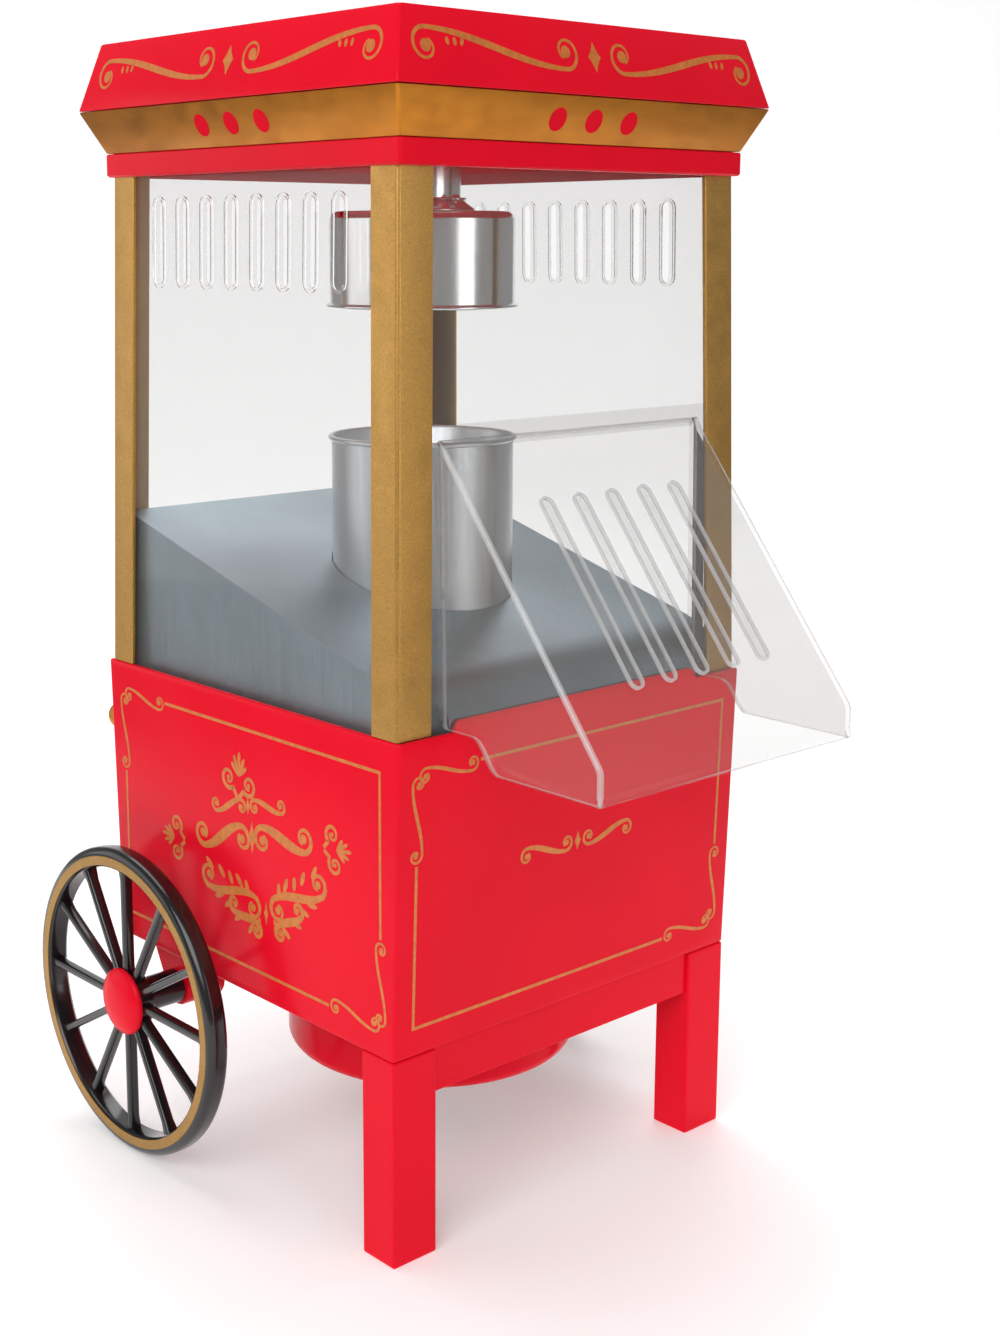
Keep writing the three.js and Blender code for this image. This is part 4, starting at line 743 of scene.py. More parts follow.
BRACKET_LOOKS = (("leg_", "front_leg_", 0.9, 3), ("bracket_", "axle_bracket_", 0.6, 2))
AXLE_RADIUS, AXLE_CHAMFER = 3.0, 0.6
DRUM_WALL, DRUM_MOUTH = 2.0, 46.0
DRUM_BEND, DRUM_FLANGE = 6, 5


class PopcornUnderside(Operator):
    """Legs, apron, axle brackets, floor, intake drum and screws"""
    bl_idname = "popcorn.underside"
    bl_label = "Underside"

    def execute(self, context):
        for side in ("left", "right"):
            for name, node, width, segments in BRACKET_LOOKS:
                softened(name + side, node + side, "red", "base", width, segments)
        softened("apron", "front_apron", "red", "base", 0.5)
        self.drum()
        end, radius = span("axle")[1][0], AXLE_RADIUS
        rod = [(0, -end), (radius - AXLE_CHAMFER, -end), (radius, 0.8 - end), (radius, end - 0.8),
               (radius - AXLE_CHAMFER, end), (0, end)]
        piece("wheel_axle", [turned(rod, (0, AXLE_Y, AXLE_Z), "x", 40)], "black_steel", "base", "axle")
        repaint("dark", "cabinet_floor", "intake_grille")
        repaint("zinc", *[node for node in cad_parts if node.startswith("floor_screw")])
        return {"FINISHED"}

    def drum(self):
        """The drum's wall section carried round its axis."""
        bottom, top = DRUM_LOW[2], DRUM_HIGH[2]
        wide = DRUM_HIGH[0]
        radius = wide - DRUM_FLANGE
        wall, mouth = DRUM_WALL, DRUM_MOUTH
        bend = (radius - DRUM_BEND, bottom + DRUM_BEND)
        profile = [(mouth, bottom + 0.4), (mouth + 0.4, bottom), *arc(bend, DRUM_BEND, -90, 0, 10),
                   (radius, top - 2.3), (wide, top - 2.3), (wide, top), (radius - wall, top),
                   *arc(bend, DRUM_BEND - wall, 0, -90, 8), (mouth, bottom + wall), (mouth, bottom + 0.4)]
        centre = (0, (DRUM_LOW[1] + DRUM_HIGH[1]) / 2, 0)
        piece("intake_drum", [turned(profile, centre)], "red", "base", "blower_drum")


# ---------------------------------------------------------------- wheels

RIM_WIDTH, RIM_DEPTH, RIM_ROUND = 10, 8.6, 3.4
RING_LOW, RING_HIGH = 60.0, 64.1                      # radii of the gold ring
GROOVE_LOW, GROOVE_HIGH = 59.7, 64.35                 # radii of the groove it lies in
BORE = 3.3
HUB_RADIUS, BOSS_RADIUS, BOSS_START = 12.5, 7.5, 90.3
DOME_HEIGHT, DOME_RADIUS = 5.2, 14.5
SPOKES = 12
SPOKE_ROUND = 1.35
SPOKE_STATIONS = [9.0, 16.0, 30.0, 44.0, 54.0]


class PopcornWheels(Operator):
    """Spoked wheels with gold rings and red hub caps"""
    bl_idname = "popcorn.wheels"
    bl_label = "Wheels"

    def execute(self, context):
        for sign, side in MIRRORED:
            self.wheel(sign, side)
        return {"FINISHED"}

    def wheel(self, sign, side):
        """The rim, hub, boss, ring and dome are turned sections. The dome's radius is a power of its
        angle's cosine and its height a power of the sine, which flattens it in the middle."""
        radius = WHEEL_HIGH[2] - AXLE_Z
        outer = WHEEL_HIGH[0]
        inner = outer - RIM_WIDTH
        body = side + "_wheel"
        centre = np.array([0, AXLE_Y, AXLE_Z])

        def round_axle(profile, steps=None):
            """A profile of radius and distance outwards, carried round the axle on this side."""
            return turned(np.array(profile) * [1, sign], centre, "x", steps)

        inside, bend = radius - RIM_DEPTH, radius - RIM_ROUND
        rim = [*arc((bend, outer - RIM_ROUND), RIM_ROUND, 90, 0, 8),
               *arc((bend, inner + RIM_ROUND), RIM_ROUND, 0, -90, 8),
               (inside + 1.4, inner), (inside, inner + 1.4), (inside, outer - 1.6),
               (inside + 0.3, outer - 0.7), (inside + 0.62, outer - 0.3), (GROOVE_LOW, outer - 0.15),
               (GROOVE_LOW, outer - 0.9), (GROOVE_HIGH, outer - 0.9), (GROOVE_HIGH, outer - 0.05)]
        rim.append(rim[0])
        hub = [(BORE, inner), (HUB_RADIUS - 0.8, inner), (HUB_RADIUS, inner + 0.8), (HUB_RADIUS, outer - 3.4),
               (HUB_RADIUS - 0.7, outer - 2.8), (BORE, outer - 2.8), (BORE, inner)]
        boss = [(BORE, BOSS_START), (BOSS_RADIUS - 0.5, BOSS_START), (BOSS_RADIUS, BOSS_START + 0.5),
                (BOSS_RADIUS, inner + 1), (BORE, inner + 1), (BORE, BOSS_START)]
        parts = [round_axle(profile) for profile in (rim, hub, boss)]
        parts += self.spokes(centre, sign * (inner + outer) / 2, inside)
        piece("wheel_body_" + side, parts, "black", body, "wheel_" + side)

        ring = [(RING_LOW, outer - 0.7), (RING_LOW, outer), (RING_LOW + 0.25, outer + 0.18),
                (RING_HIGH - 0.25, outer + 0.18), (RING_HIGH, outer), (RING_HIGH, outer - 0.7),
                (RING_LOW, outer - 0.7)]
        piece("gold_ring_" + side, [round_axle(ring, 160)], "ring_gold", body, "wheel_ring_" + side)

        foot, reach = outer - 2.4, DOME_RADIUS
        angle = np.radians(np.linspace(0, 90, 14))
        dome = np.stack((reach * np.cos(angle) ** 0.8,
                         foot + 1.2 + (DOME_HEIGHT - 1.2) * np.sin(angle) ** 1.3), 1)
        dome[-1, 0] = 0
        profile = np.concatenate(([[0, foot], [reach - 0.3, foot], [reach, foot + 0.3]], dome))
        piece("hub_dome_" + side, [round_axle(profile)], "red", body, "hub_cap_" + side)

    def spokes(self, centre, middle_x, inside):
        """Bars from the hub to the rim: each is a stack of rounded rectangles, a little thicker at both
        ends, turned about the axle by equal steps."""
        station = np.array([*SPOKE_STATIONS, inside - 1.6, inside + 0.4])
        half_x = np.interp(station, [9, 16, 54, inside], [2.9, 2.5, 2.5, 3.0])
        half_y = np.interp(station, [9, 16, 54, inside], [2.2, 1.75, 1.75, 2.2])
        loops = rounded_loops(np.stack((half_x, half_y, 0 * half_x + SPOKE_ROUND, station), 1), 4)
        x, y, z = loops[..., 0] + middle_x, loops[..., 1], loops[..., 2]
        parts = []
        for angle in np.arange(SPOKES) * 2 * np.pi / SPOKES:
            c, s = math.cos(angle), math.sin(angle)
            parts.append(stack(np.stack((x, y * c - z * s, y * s + z * c), -1) + centre))
        return parts


# ---------------------------------------------------------------- works inside

PAINTED_WORKS = {
    "zinc": ("motor_bracket", "motor", "fan_shaft", "thermostat", "thermal_fuse"),
    "dark": ("fan_impeller", "air_guide"), "aluminium": ("heater_housing",), "mica": ("heater_bobbin",),
    "wire": ("heater_coil",)}
CUP_RADIUS, CUP_WALL = 38.5, 1.2
LOUVRES, LOUVRE_RING = 14, 26.0


class PopcornWorks(Operator):
    """Motor, fan, heater, popping chamber and ramp"""
    bl_idname = "popcorn.works"
    bl_label = "Works"

    def execute(self, context):
        for look, nodes in PAINTED_WORKS.items():
            repaint(look, *nodes)
        softened("ramp_sheet", "popcorn_ramp", "ramp", "base", 0, sharp=25)
        self.chamber()
        return {"FINISHED"}

    def chamber(self):
        """A drawn cup: its wall section carried round the axis, with a rolled bead at the mouth, and
        slanted louvres standing round its floor."""
        bottom, top, wide = CHAMBER_LOW[2], CHAMBER_HIGH[2], CHAMBER_HIGH[0]
        radius, floor = CUP_RADIUS, CHAMBER_LOW[2] + CUP_WALL
        inner = radius - CUP_WALL
        profile = [(0, bottom), (wide, bottom), (wide, floor), (radius, floor), (radius, top - 2.4),
                   *arc((radius + 0.2, top - 1.2), 1.2, -60, 180, 10), (inner, top - 1.6), (inner, floor),
                   (0, floor)]
        parts = [turned(profile, (0, AXIS_Y, 0))]
        louvre = np.array([[-3.5, 0], [3.5, 0], [2.6, 6.0], [-2.6, 6.0]])
        for angle in np.radians(np.arange(LOUVRES) * 360 / LOUVRES):
            c, s = math.cos(angle), math.sin(angle)
            face = (np.array([LOUVRE_RING * c, AXIS_Y + LOUVRE_RING * s, floor]), np.array([-s, c, 0.0]),
                    np.array([c * 0.5, s * 0.5, 0.866]))
            parts.append(plate(louvre, face, -0.4, 0.4))
        piece("popping_cup", parts, "aluminium", "base", "popping_chamber")


# ---------------------------------------------------------------- windows, posts and chute

PANE_INSET = 1.8                                      # how far the panes lie inside the posts
VENTS, VENT_PITCH, VENT_HALF, VENT_HEIGHT = 8, 16.7, 3.7, 34.5
VENT_TOP = 9.3                                        # from the canopy's band down to the slots
RIM_HALF = 0.6                                        # half width of a vent's raised rim
POST_WALL, POST_ROUND, POST_FRONT, POST_SIDE = 1.5, 1.6, 17.0, 15.0


class PopcornWindows(Operator):
    """Clear window box with its vent rims, and the gold corner posts"""
    bl_idname = "popcorn.windows"
    bl_label = "Windows and posts"

    def execute(self, context):
        softened("window_box", "window_housing", "window", "housing", 0.3, sharp=30)
        self.vent_rims()
        for sign_x, side in MIRRORED:
            for sign_y, end in ((-1, "front"), (1, "rear")):
                self.post(sign_x, sign_y, "%s_%s" % (end, side))
        return {"FINISHED"}

    def vent_rims(self):
        """A raised lip round each slot: the slot's outline widened into a band on the window's face."""
        low, high = window_half(CABINET_TOP) - PANE_INSET, window_half(BAND_BOTTOM) - PANE_INSET
        top = BAND_BOTTOM - CABINET_TOP - VENT_TOP
        parts = []
        for mirror, side in MIRRORED:
            face = face_of(side, low, high, CABINET_TOP, BAND_BOTTOM)
            for index in range(VENTS):
                x = mirror * ((index - (VENTS - 1) / 2) * VENT_PITCH + 1.0)
                slot = pill(x, top - VENT_HEIGHT - RIM_HALF, top + RIM_HALF, VENT_HALF, 10)
                parts.append(stroke(slot, RIM_HALF, face, -0.05, 0.7, closed=True))
        piece("vent_rims", parts, "thick", "housing")

    def post(self, sign_x, sign_y, name):
        """An angle-shaped strip: one section with a rounded outer corner, following the windows' taper."""
        wall, radius, front, side = POST_WALL, POST_ROUND, POST_FRONT, POST_SIDE

        def section(z):
            """The strip's outline at a height."""
            x, y = window_half(z)
            outline = np.concatenate((
                [[x - wall, y - side], [x - 0.4, y - side], [x, y - side + 0.4]],
                arc((x - radius, y - radius), radius, 0, 90, 6),
                [[x - front + 0.4, y], [x - front, y - 0.4], [x - front, y - wall], [x - wall, y - wall]]))
            return np.column_stack((outline * [sign_x, sign_y], np.full(len(outline), z)))

        loops = np.stack([section(z) for z in np.linspace(POST_LOW[2], POST_HIGH[2], 8)])
        piece("post_" + name, [stack(loops)], "post_gold", "housing", "corner_post_" + name)


CHUTE_HALF, CHUTE_HEIGHT = 71.7, 109
CHUTE_FOOT, LIP_TOP = CABINET_TOP + 1.2, CABINET_TOP + 1.9
LIP_BOTTOM, LIP_Y = CHUTE_LOW[2], CHUTE_LOW[1]
LIP_BEND, CHEEK_BEND = 2.2, 1.7
SILL_REACH = 12.2                                     # how far the hood runs out level over the sill
HOOD_ROWS = 90
FLANGE_PROUD, FLANGE_COVER, FLANGE_THICK, FLANGE_BEND = 2.5, 2.4, 2.0, 1.6
RIBS, RIB_PITCH, RIB_START, RIB_END, RIB_ROUND = 5, 17.8, 0.19, 0.79, 3.5
RIB_LEVELS = ((2.5, 0.0), (2.5, 0.5), (2.1, 0.8), (1.4, 1.0))      # half width and height
RIB_RIM_MIDDLE, RIB_RIM_HALF, RIB_RIM_HEIGHT = 3.05, 0.45, 1.4


class PopcornChute(Operator):
    """Clear hood over the popcorn opening, with ribs and a flange"""
    bl_idname = "popcorn.chute"
    bl_label = "Chute"

    def execute(self, context):
        top = CABINET_TOP + CHUTE_HEIGHT
        self.hood(top)
        self.flange(top)
        self.ribs(top)
        return {"FINISHED"}

    def face_y(self, z):
        """The front of the window at a height."""
        return -(window_half(z)[1] - PANE_INSET) - GAP

    def ridge(self, top):
        """The panel's side line: straight down from the window, then a quadratic curve whose middle point
        is the knee, then down the lip."""
        start, knee = np.array([self.face_y(top), top]), np.array([LIP_Y, LIP_TOP])
        end = np.array([LIP_Y, LIP_BOTTOM])
        reach = np.linalg.norm(knee - start)
        slope = (knee - start) / reach
        straight = start + slope * np.linspace(0, reach - LIP_BEND, 30)[:, None]
        share = np.linspace(0, 1, 8)[1:, None]
        before, after = straight[-1], knee + (end - knee) * 0.18
        bend = (1 - share) ** 2 * before + 2 * share * (1 - share) * knee + share ** 2 * after
        return np.concatenate((straight, bend, after + (end - after) * np.linspace(0, 1, 6)[1:, None]))

    def free_edge(self, top):
        """The cheek's free edge: down the window, out over the sill, down half a cosine wave and out to
        the lip."""
        sill_y = -CABINET_HALF[1] - SILL_REACH
        share = np.linspace(0, 1, 14)[1:, None]
        drop = CHUTE_FOOT - LIP_BOTTOM
        wave = np.concatenate((sill_y - share * drop * 1.1,
                               CHUTE_FOOT - drop * (1 - np.cos(share * np.pi)) / 2), 1)
        z = np.linspace(top, CHUTE_FOOT, 20)
        window = np.stack((np.array([self.face_y(height) for height in z]), z), 1)
        return np.concatenate((window, [[sill_y, CHUTE_FOOT]], wave, [[LIP_Y, LIP_BOTTOM]]))

    def hood(self, top):
        """The ridge and the free edge are matched by share of length; each pair of points is joined by a
        flat cheek, a rounded corner and half of the panel, and the other half is its mirror."""
        ridge, free = self.spaced(self.ridge(top), HOOD_ROWS), self.spaced(self.free_edge(top), HOOD_ROWS)
        run = np.gradient(ridge, axis=0)
        run /= np.linalg.norm(run, axis=1, keepdims=True)
        inward = np.stack((-run[:, 1], run[:, 0]), 1)
        inward[inward[:, 0] < 0] *= -1
        row = np.arange(HOOD_ROWS)
        radius = CHEEK_BEND * np.clip(row / 3, 0.02, 1) * np.clip((HOOD_ROWS - 1 - row) / 2, 0.02, 1)
        corner = np.radians(np.linspace(0, 90, 6))
        cheek = np.linspace(0, 1, 8)[:-1]
        shoulder = ridge + inward * radius[:, None]
        side = free[:, None] + (shoulder - free)[:, None] * cheek[None, :, None]
        round_x = CHUTE_HALF - radius[:, None] * (1 - np.cos(corner))
        round_yz = ridge[:, None] + inward[:, None] * (radius[:, None] * (1 - np.sin(corner)))[..., None]
        x = np.concatenate((np.full(side.shape[:2], CHUTE_HALF), round_x), 1)
        yz = np.concatenate((side, round_yz), 1)
        right = np.concatenate((x[..., None], yz), -1)
        middle = np.concatenate((0 * x[:, -1:, None], yz[:, -1:]), -1)
        left = (right * [-1, 1, 1])[:, ::-1]
        surface = np.concatenate((right, middle, left), 1)
        rows, columns = surface.shape[:2]
        mesh = bpy.data.meshes.new("chute_hood")
        points = (surface.reshape(-1, 3) + [0, MIDDLE_Y, 0]) * MM
        faces = grid(rows, columns)
        mesh.from_pydata(points.tolist(), [], faces.tolist())
        from_middle = np.abs(faces[:, 0] % columns - (columns - 2) / 2)
        bent = (from_middle > 0.9) & (from_middle < 5.9)      # the rounded corners take the edge finish, a painted highlight for the bright lines along the bends
        mesh.polygons.foreach_set("material_index", bent.astype(np.int32))
        edit = bmesh.new()
        edit.from_mesh(mesh)
        bmesh.ops.remove_doubles(edit, verts=edit.verts, dist=2e-5)
        bmesh.ops.dissolve_degenerate(edit, edges=edit.edges, dist=1e-6)
        bmesh.ops.recalc_face_normals(edit, faces=edit.faces)
        edit.normal_update()
        if sum(face.normal.z * face.calc_area() for face in edit.faces) < 0:
            bmesh.ops.reverse_faces(edit, faces=edit.faces)
        edit.to_mesh(mesh)
        edit.free()
        hood = finished("chute_hood", mesh, "chute", "housing", "chute", sharp=40)
        # The rounded corners and, through the wall's rim, the cut edges take the edge finish: painted
        # highlight along the hood's edges.
        hood.data.materials.append(finish("edge"))
        wall = hood.modifiers.new("wall", "SOLIDIFY")
        wall.material_offset_rim = 1
        wall.thickness = sizes().chute_wall
        wall.offset = -1
        wall.use_even_offset = True

    def spaced(self, path, count):
        """The same path with points at equal shares of its length."""
        length = np.concatenate(([0], np.cumsum(np.linalg.norm(np.diff(path, axis=0), axis=1))))
        want = np.linspace(0, length[-1], count)
        return np.stack([np.interp(want, length, path[:, i]) for i in range(2)], 1)

    def flange(self, top):
        """Strips that lie on the window above and beside the hood."""
        run, rise = self.face_y(top) - self.face_y(CHUTE_FOOT), top - CHUTE_FOOT
        face = (np.array([0, self.face_y(CHUTE_FOOT), CHUTE_FOOT]), np.array([1.0, 0, 0]),
                np.array([0, run, rise]) / math.hypot(run, rise))
        outer, inner, bend = CHUTE_HALF + FLANGE_PROUD, CHUTE_HALF - FLANGE_COVER, FLANGE_BEND
        low, high = 4.0, rise + 5.5
        outline = np.concatenate((
            [[outer, low]], arc((outer - bend, high - bend), bend, 0, 90, 5),
            arc((bend - outer, high - bend), bend, 90, 180, 5),
            [[-outer, low], [-inner, low], [-inner, high - 8.7], [inner, high - 8.7], [inner, low]]))
        piece("chute_flange", [plate(outline, face, 0.0, FLANGE_THICK)], "chute", "housing")

    def ribs(self, top):
        """Long pills raised on the panel: a low rounded middle inside a thin upright rim."""
        start, end = np.array([0, self.face_y(top), top]), np.array([0, LIP_Y, LIP_TOP])
        length = np.linalg.norm(end - start)
        face = (end, np.array([1.0, 0, 0]), (start - end) / length)
        low, high = length * RIB_START + RIB_ROUND, length * RIB_END - RIB_ROUND
        middles, rims = [], []
        for x in (np.arange(RIBS) - (RIBS - 1) / 2) * RIB_PITCH:
            loops = [on_face(face, pill(x, low - half, high + half, half, 10), height)
                     for half, height in RIB_LEVELS]
            middles.append(stack(np.stack(loops)))
            line = pill(x, low - RIB_RIM_MIDDLE, high + RIB_RIM_MIDDLE, RIB_RIM_MIDDLE, 10)
            rims.append(stroke(line, RIB_RIM_HALF, face, 0.0, RIB_RIM_HEIGHT, closed=True))
        piece("chute_ribs", middles, "chute", "housing", sharp=50)
        # The rims take the edge finish: painted highlight for the bright outlines of the ribs.
        piece("chute_rib_rims", rims, "edge", "housing", sharp=50)


# ---------------------------------------------------------------- canopy and cornice

ROOF_WALL = 2.2
FILLER_MOUTH = 24.6
ATTIC_INSET, CORNICE_INSET = 2.8, 0.15


class PopcornCanopy(Operator):
    """Red canopy and the gold cornice under it"""
    bl_idname = "popcorn.canopy"
    bl_label = "Canopy"

    def execute(self, context):
        neck = window_half(POST_HIGH[2])
        corner = sizes().corner_radius / MM

        def row(half, z, radius=corner):
            """One level outline: half sizes, corner radius and height."""
            return [half[0], half[1], radius, z]

        self.hood(row, neck)
        self.cornice(row, neck)
        return {"FINISHED"}

    def hood(self, row, neck):
        """Level rounded rectangles: up the outside, over the roof to a ring of points on the filler hole
        at the same angles, and down the inside."""
        edge = sizes().edge_radius / MM
        band_top = CORNICE_BOTTOM - GAP
        slope = (RIDGE_HALF - ROOF_HALF) / (ROOF_TOP - RIDGE)
        outside = [row(BAND_HALF - edge, BAND_BOTTOM), row(BAND_HALF, BAND_BOTTOM + edge),
                   row(BAND_HALF, band_top - 0.4), row(BAND_HALF - 0.4, band_top), row(neck, band_top, 1.0),
                   row(neck, RIDGE, 1.0), row(RIDGE_HALF - 0.3, RIDGE),
                   row(RIDGE_HALF - slope * 0.3, RIDGE + 0.3), row(ROOF_HALF + slope * 0.6, ROOF_TOP - 0.6),
                   row(ROOF_HALF - 0.3, ROOF_TOP - 0.1), row(ROOF_HALF - 0.8, ROOF_TOP)]
        loops = rounded_loops(outside)
        angle = np.arctan2(loops[-1][:, 1] - AXIS_Y, loops[-1][:, 0])
        hole = np.stack((FILLER_MOUTH * np.cos(angle), FILLER_MOUTH * np.sin(angle) + AXIS_Y, 0 * angle), 1)
        throat, seat = neck - ROOF_WALL, window_half(BAND_BOTTOM) + GAP
        under, ledge, rest = ROOF_TOP - ROOF_WALL, RIDGE + ROOF_WALL, POST_HIGH[2] + GAP
        inside = [row(ROOF_HALF - 2.6, under, 1.5), row(RIDGE_HALF - ATTIC_INSET, ledge, 1.5),
                  row(throat, ledge, 1.0), row(throat, rest, 1.0), row(seat, rest, 1.8),
                  row(seat, BAND_BOTTOM, 1.8)]
        loops = np.concatenate((loops, [hole + [0, 0, ROOF_TOP]], [hole + [0, 0, under]],
                                rounded_loops(inside)))
        piece("canopy_hood", [stack(loops, closed=True)], "red", "canopy_top", "canopy", sharp=32)

    def cornice(self, row, neck):
        """A ring of level rounded rectangles that widens upwards, with a straight hollow."""
        low, high = CORNICE_LOW[2], CORNICE_HIGH[2]
        hollow, top_half = neck + GAP, RIDGE_HALF - CORNICE_INSET
        band = [row(BAND_HALF - 0.3, low), row(BAND_HALF, low + 0.3), row(top_half, high - 0.3),
                row(top_half - 0.3, high), row(hollow, high, 1.2), row(hollow, low, 1.2)]
        piece("cornice_frame", [stack(rounded_loops(band), closed=True)], "cornice_gold", "canopy_top",
              "cornice_band", sharp=32)


TUBE_RADIUS = 16.0
KETTLE_WALL, KETTLE_BEAD, KETTLE_ROUND = 1.2, 0.8, 3.6
STUD_RADIUS = 1.85
FUNNEL_WALL, FUNNEL_FLOOR, FUNNEL_FLANGE = 1.4, 447.0, 8
CAP_RADIUS, CAP_WALL, CAP_ROUND, GRIPS = 24.0, 1.6, 1.5, 48


class PopcornKettle(Operator):
    """Kettle, filler tube, collar with its stud, and the measuring cap"""
    bl_idname = "popcorn.kettle"
    bl_label = "Kettle"

    def execute(self, context):
        centre = (0, AXIS_Y, 0)
        self.pot(centre)
        self.collar(centre)
        self.stud()
        self.filler(centre)
        self.cap(centre)
        return {"FINISHED"}

    def pot(self, centre):
        """A pot upside down: beaded mouth, straight wall, rounded crown with a hole for the tube."""
        bottom, top = KETTLE_LOW[2], KETTLE_HIGH[2]
        radius = KETTLE_HIGH[0] - 2 * KETTLE_BEAD
        inner, hole = radius - KETTLE_WALL, TUBE_RADIUS + GAP
        rim = arc((radius + KETTLE_BEAD, bottom + KETTLE_BEAD), KETTLE_BEAD, -90, 90, 8)
        crown = arc((radius - KETTLE_ROUND, top - KETTLE_ROUND), KETTLE_ROUND, 0, 90, 12)
        profile = [(inner, bottom), *rim, (radius, bottom + 2.0), *crown, (hole, top),
                   (hole, top - KETTLE_WALL), (radius - 4, top - KETTLE_WALL), (inner, top - 4.2),
                   (inner, bottom)]
        piece("kettle_pot", [turned(profile, centre, steps=128)], "chrome", "canopy_top", "kettle")

    def collar(self, centre):
        """A cone with a small bead at its top."""
        z, bore = span("tube_collar")[0][2], TUBE_RADIUS + GAP
        cone = [(bore, z), (21.4, z), (21.8, z + 0.4), (21.5, z + 0.9), (18.2, z + 3.2), (17.8, z + 3.8),
                (18.0, z + 4.3), (18.3, z + 4.7), (18.0, z + 5.2), (bore, z + 5.2), (bore, z)]
        piece("collar_cone", [turned(cone, centre)], "chrome", "canopy_top", "tube_collar")

    def stud(self):
        """A half circle carried round an axis: a ball."""
        angle = np.radians(np.linspace(-90, 90, 18))
        ball = STUD_RADIUS * np.stack((np.cos(angle), np.sin(angle)), 1)
        ball[[0, -1], 0] = 0
        piece("stud_ball", [turned(ball, between("collar_stud"), "y", 32)], "chrome", "canopy_top",
              "collar_stud")

    def filler(self, centre):
        """A tube that opens through a rounded throat into a wide mouth with a flange."""
        low, high = span("kernel_funnel")
        bottom, top = low[2], high[2]
        outer, inner, mouth, floor = TUBE_RADIUS, TUBE_RADIUS - FUNNEL_WALL, FILLER_MOUTH, FUNNEL_FLOOR
        wide, flange = mouth + FUNNEL_WALL, mouth + FUNNEL_FLANGE
        throat = arc((outer + 5, floor - 9), 5, 180, 150, 4)
        funnel = [(inner, bottom), (outer, bottom), (outer, floor - 9), *throat[1:], (wide, floor),
                  (wide, top - 2), (flange, top - 2), (flange, top), (mouth, top), (mouth, floor + 1),
                  (inner, floor - 7), (inner, bottom)]
        piece("filler_tube", [turned(funnel, centre)], "chrome", "canopy_top", "kernel_funnel")

    def cap(self, centre):
        """The cup's section carried round its axis; small upright ribs give its edge a grip."""
        bottom, top, wide = CAP_LOW[2], CAP_HIGH[2], CAP_HIGH[0]
        radius, inner, bend, rim = CAP_RADIUS, CAP_RADIUS - CAP_WALL, CAP_ROUND, ROOF_TOP + GAP
        profile = [(0, bottom), *arc((radius - bend, bottom + bend), bend, -90, 0, 5), (radius, rim),
                   (wide - 0.9, rim), (wide - 0.5, rim + 0.4), (wide - 0.5, top - 0.9), (wide - 1.2, top),
                   (inner + 0.4, top), (inner, top - 0.4),
                   *arc((inner - bend, bottom + CAP_WALL + bend), bend, 0, -90, 5), (0, bottom + CAP_WALL)]
        parts = [turned(profile, centre)]
        grip = np.array([[-0.6, 0.3], [0.6, 0.3], [0.6, 1.9], [-0.6, 1.9]])
        for angle in np.radians(np.arange(GRIPS) * 360 / GRIPS):
            c, s = math.cos(angle), math.sin(angle)
            face = (np.array([(wide - 0.6) * c, AXIS_Y + (wide - 0.6) * s, rim]), np.array([-s, c, 0.0]),
                    np.array([0, 0, 1.0]))
            parts.append(plate(grip, face, 0.0, 0.55))
        piece("cap_cup", parts, "cap_red", "cap", "measuring_cap")


# ---------------------------------------------------------------- printed gold

def scroll(length, height, steps=60):
    """An S-shaped path about its middle: a spiral whose radius grows evenly with its angle up to the
    crest, half a falling cosine, and the same again turned half round."""
    big, small = 0.6 * height, 0.24 * height
    centre = np.array([0.505 * height - length / 2, height / 2 - big])
    turn = np.linspace(0, 1, steps)[:, None]
    angle = np.radians(60 - 330 * turn)
    spiral = centre + (small + (big - small) * turn) * np.concatenate((np.cos(angle), np.sin(angle)), 1)
    x = np.linspace(centre[0], 0, steps)[1:]
    wave = np.stack((x, height / 2 * np.cos(np.pi / 2 * (x / centre[0] - 1))), 1)
    half = np.concatenate((spiral, wave))
    return np.concatenate((half, -half[-2::-1])), centre


PRINT_DEPTH, PRINT_STEP, PRINT_STEPS = 0.15, 0.002, 29
OVALS, OVAL_HEIGHT, OVAL_HALF = (-18.6, 0.6, 19.8), 9.0, (4.3, 4.6)
CANOPY_LINE = 14.7                                    # height of the canopy's scrolls up its face
BORDER_HALF, BORDER_LOW, BORDER_HIGH = 86.5, 11.5, 112.5
BORDER_GAP_ALONG, BORDER_GAP_UP = 31.5, 36
FLEUR_LEAVES = ((-44, 0.30), (-22, 0.38), (0, 0.44), (22, 0.38), (44, 0.30))     # tilt and length
SCROLL_LEAVES = ((11, 6, 80, 3.2), (16, 8.5, 60, 3.4), (22, 9.5, 75, 3.0), (28, 12, 60, 3.2),
                 (36, 15, 50, 3.2), (26, -1.5, -30, 3.4), (32, 1.5, -10, 3.2), (38, 5, 5, 3.0),
                 (6, -9, -70, 3.0), (12, -11, -45, 3.2), (20, -7, -25, 3.2))     # x, y, tilt, half length
SCROLL_CURLS = (((23, 4), 40, 8.5, 20), ((15, -6.5), 23, 5.5, 34))               # place, length, height, tilt
FLEURS = ((-2.5, 91, 11.5, -4), (-49.5, 55, 10.0, 90), (60, 76, 10.0, -82))      # x, height, size, turn
FRONT_LINE = 68
SLANT = 11.0


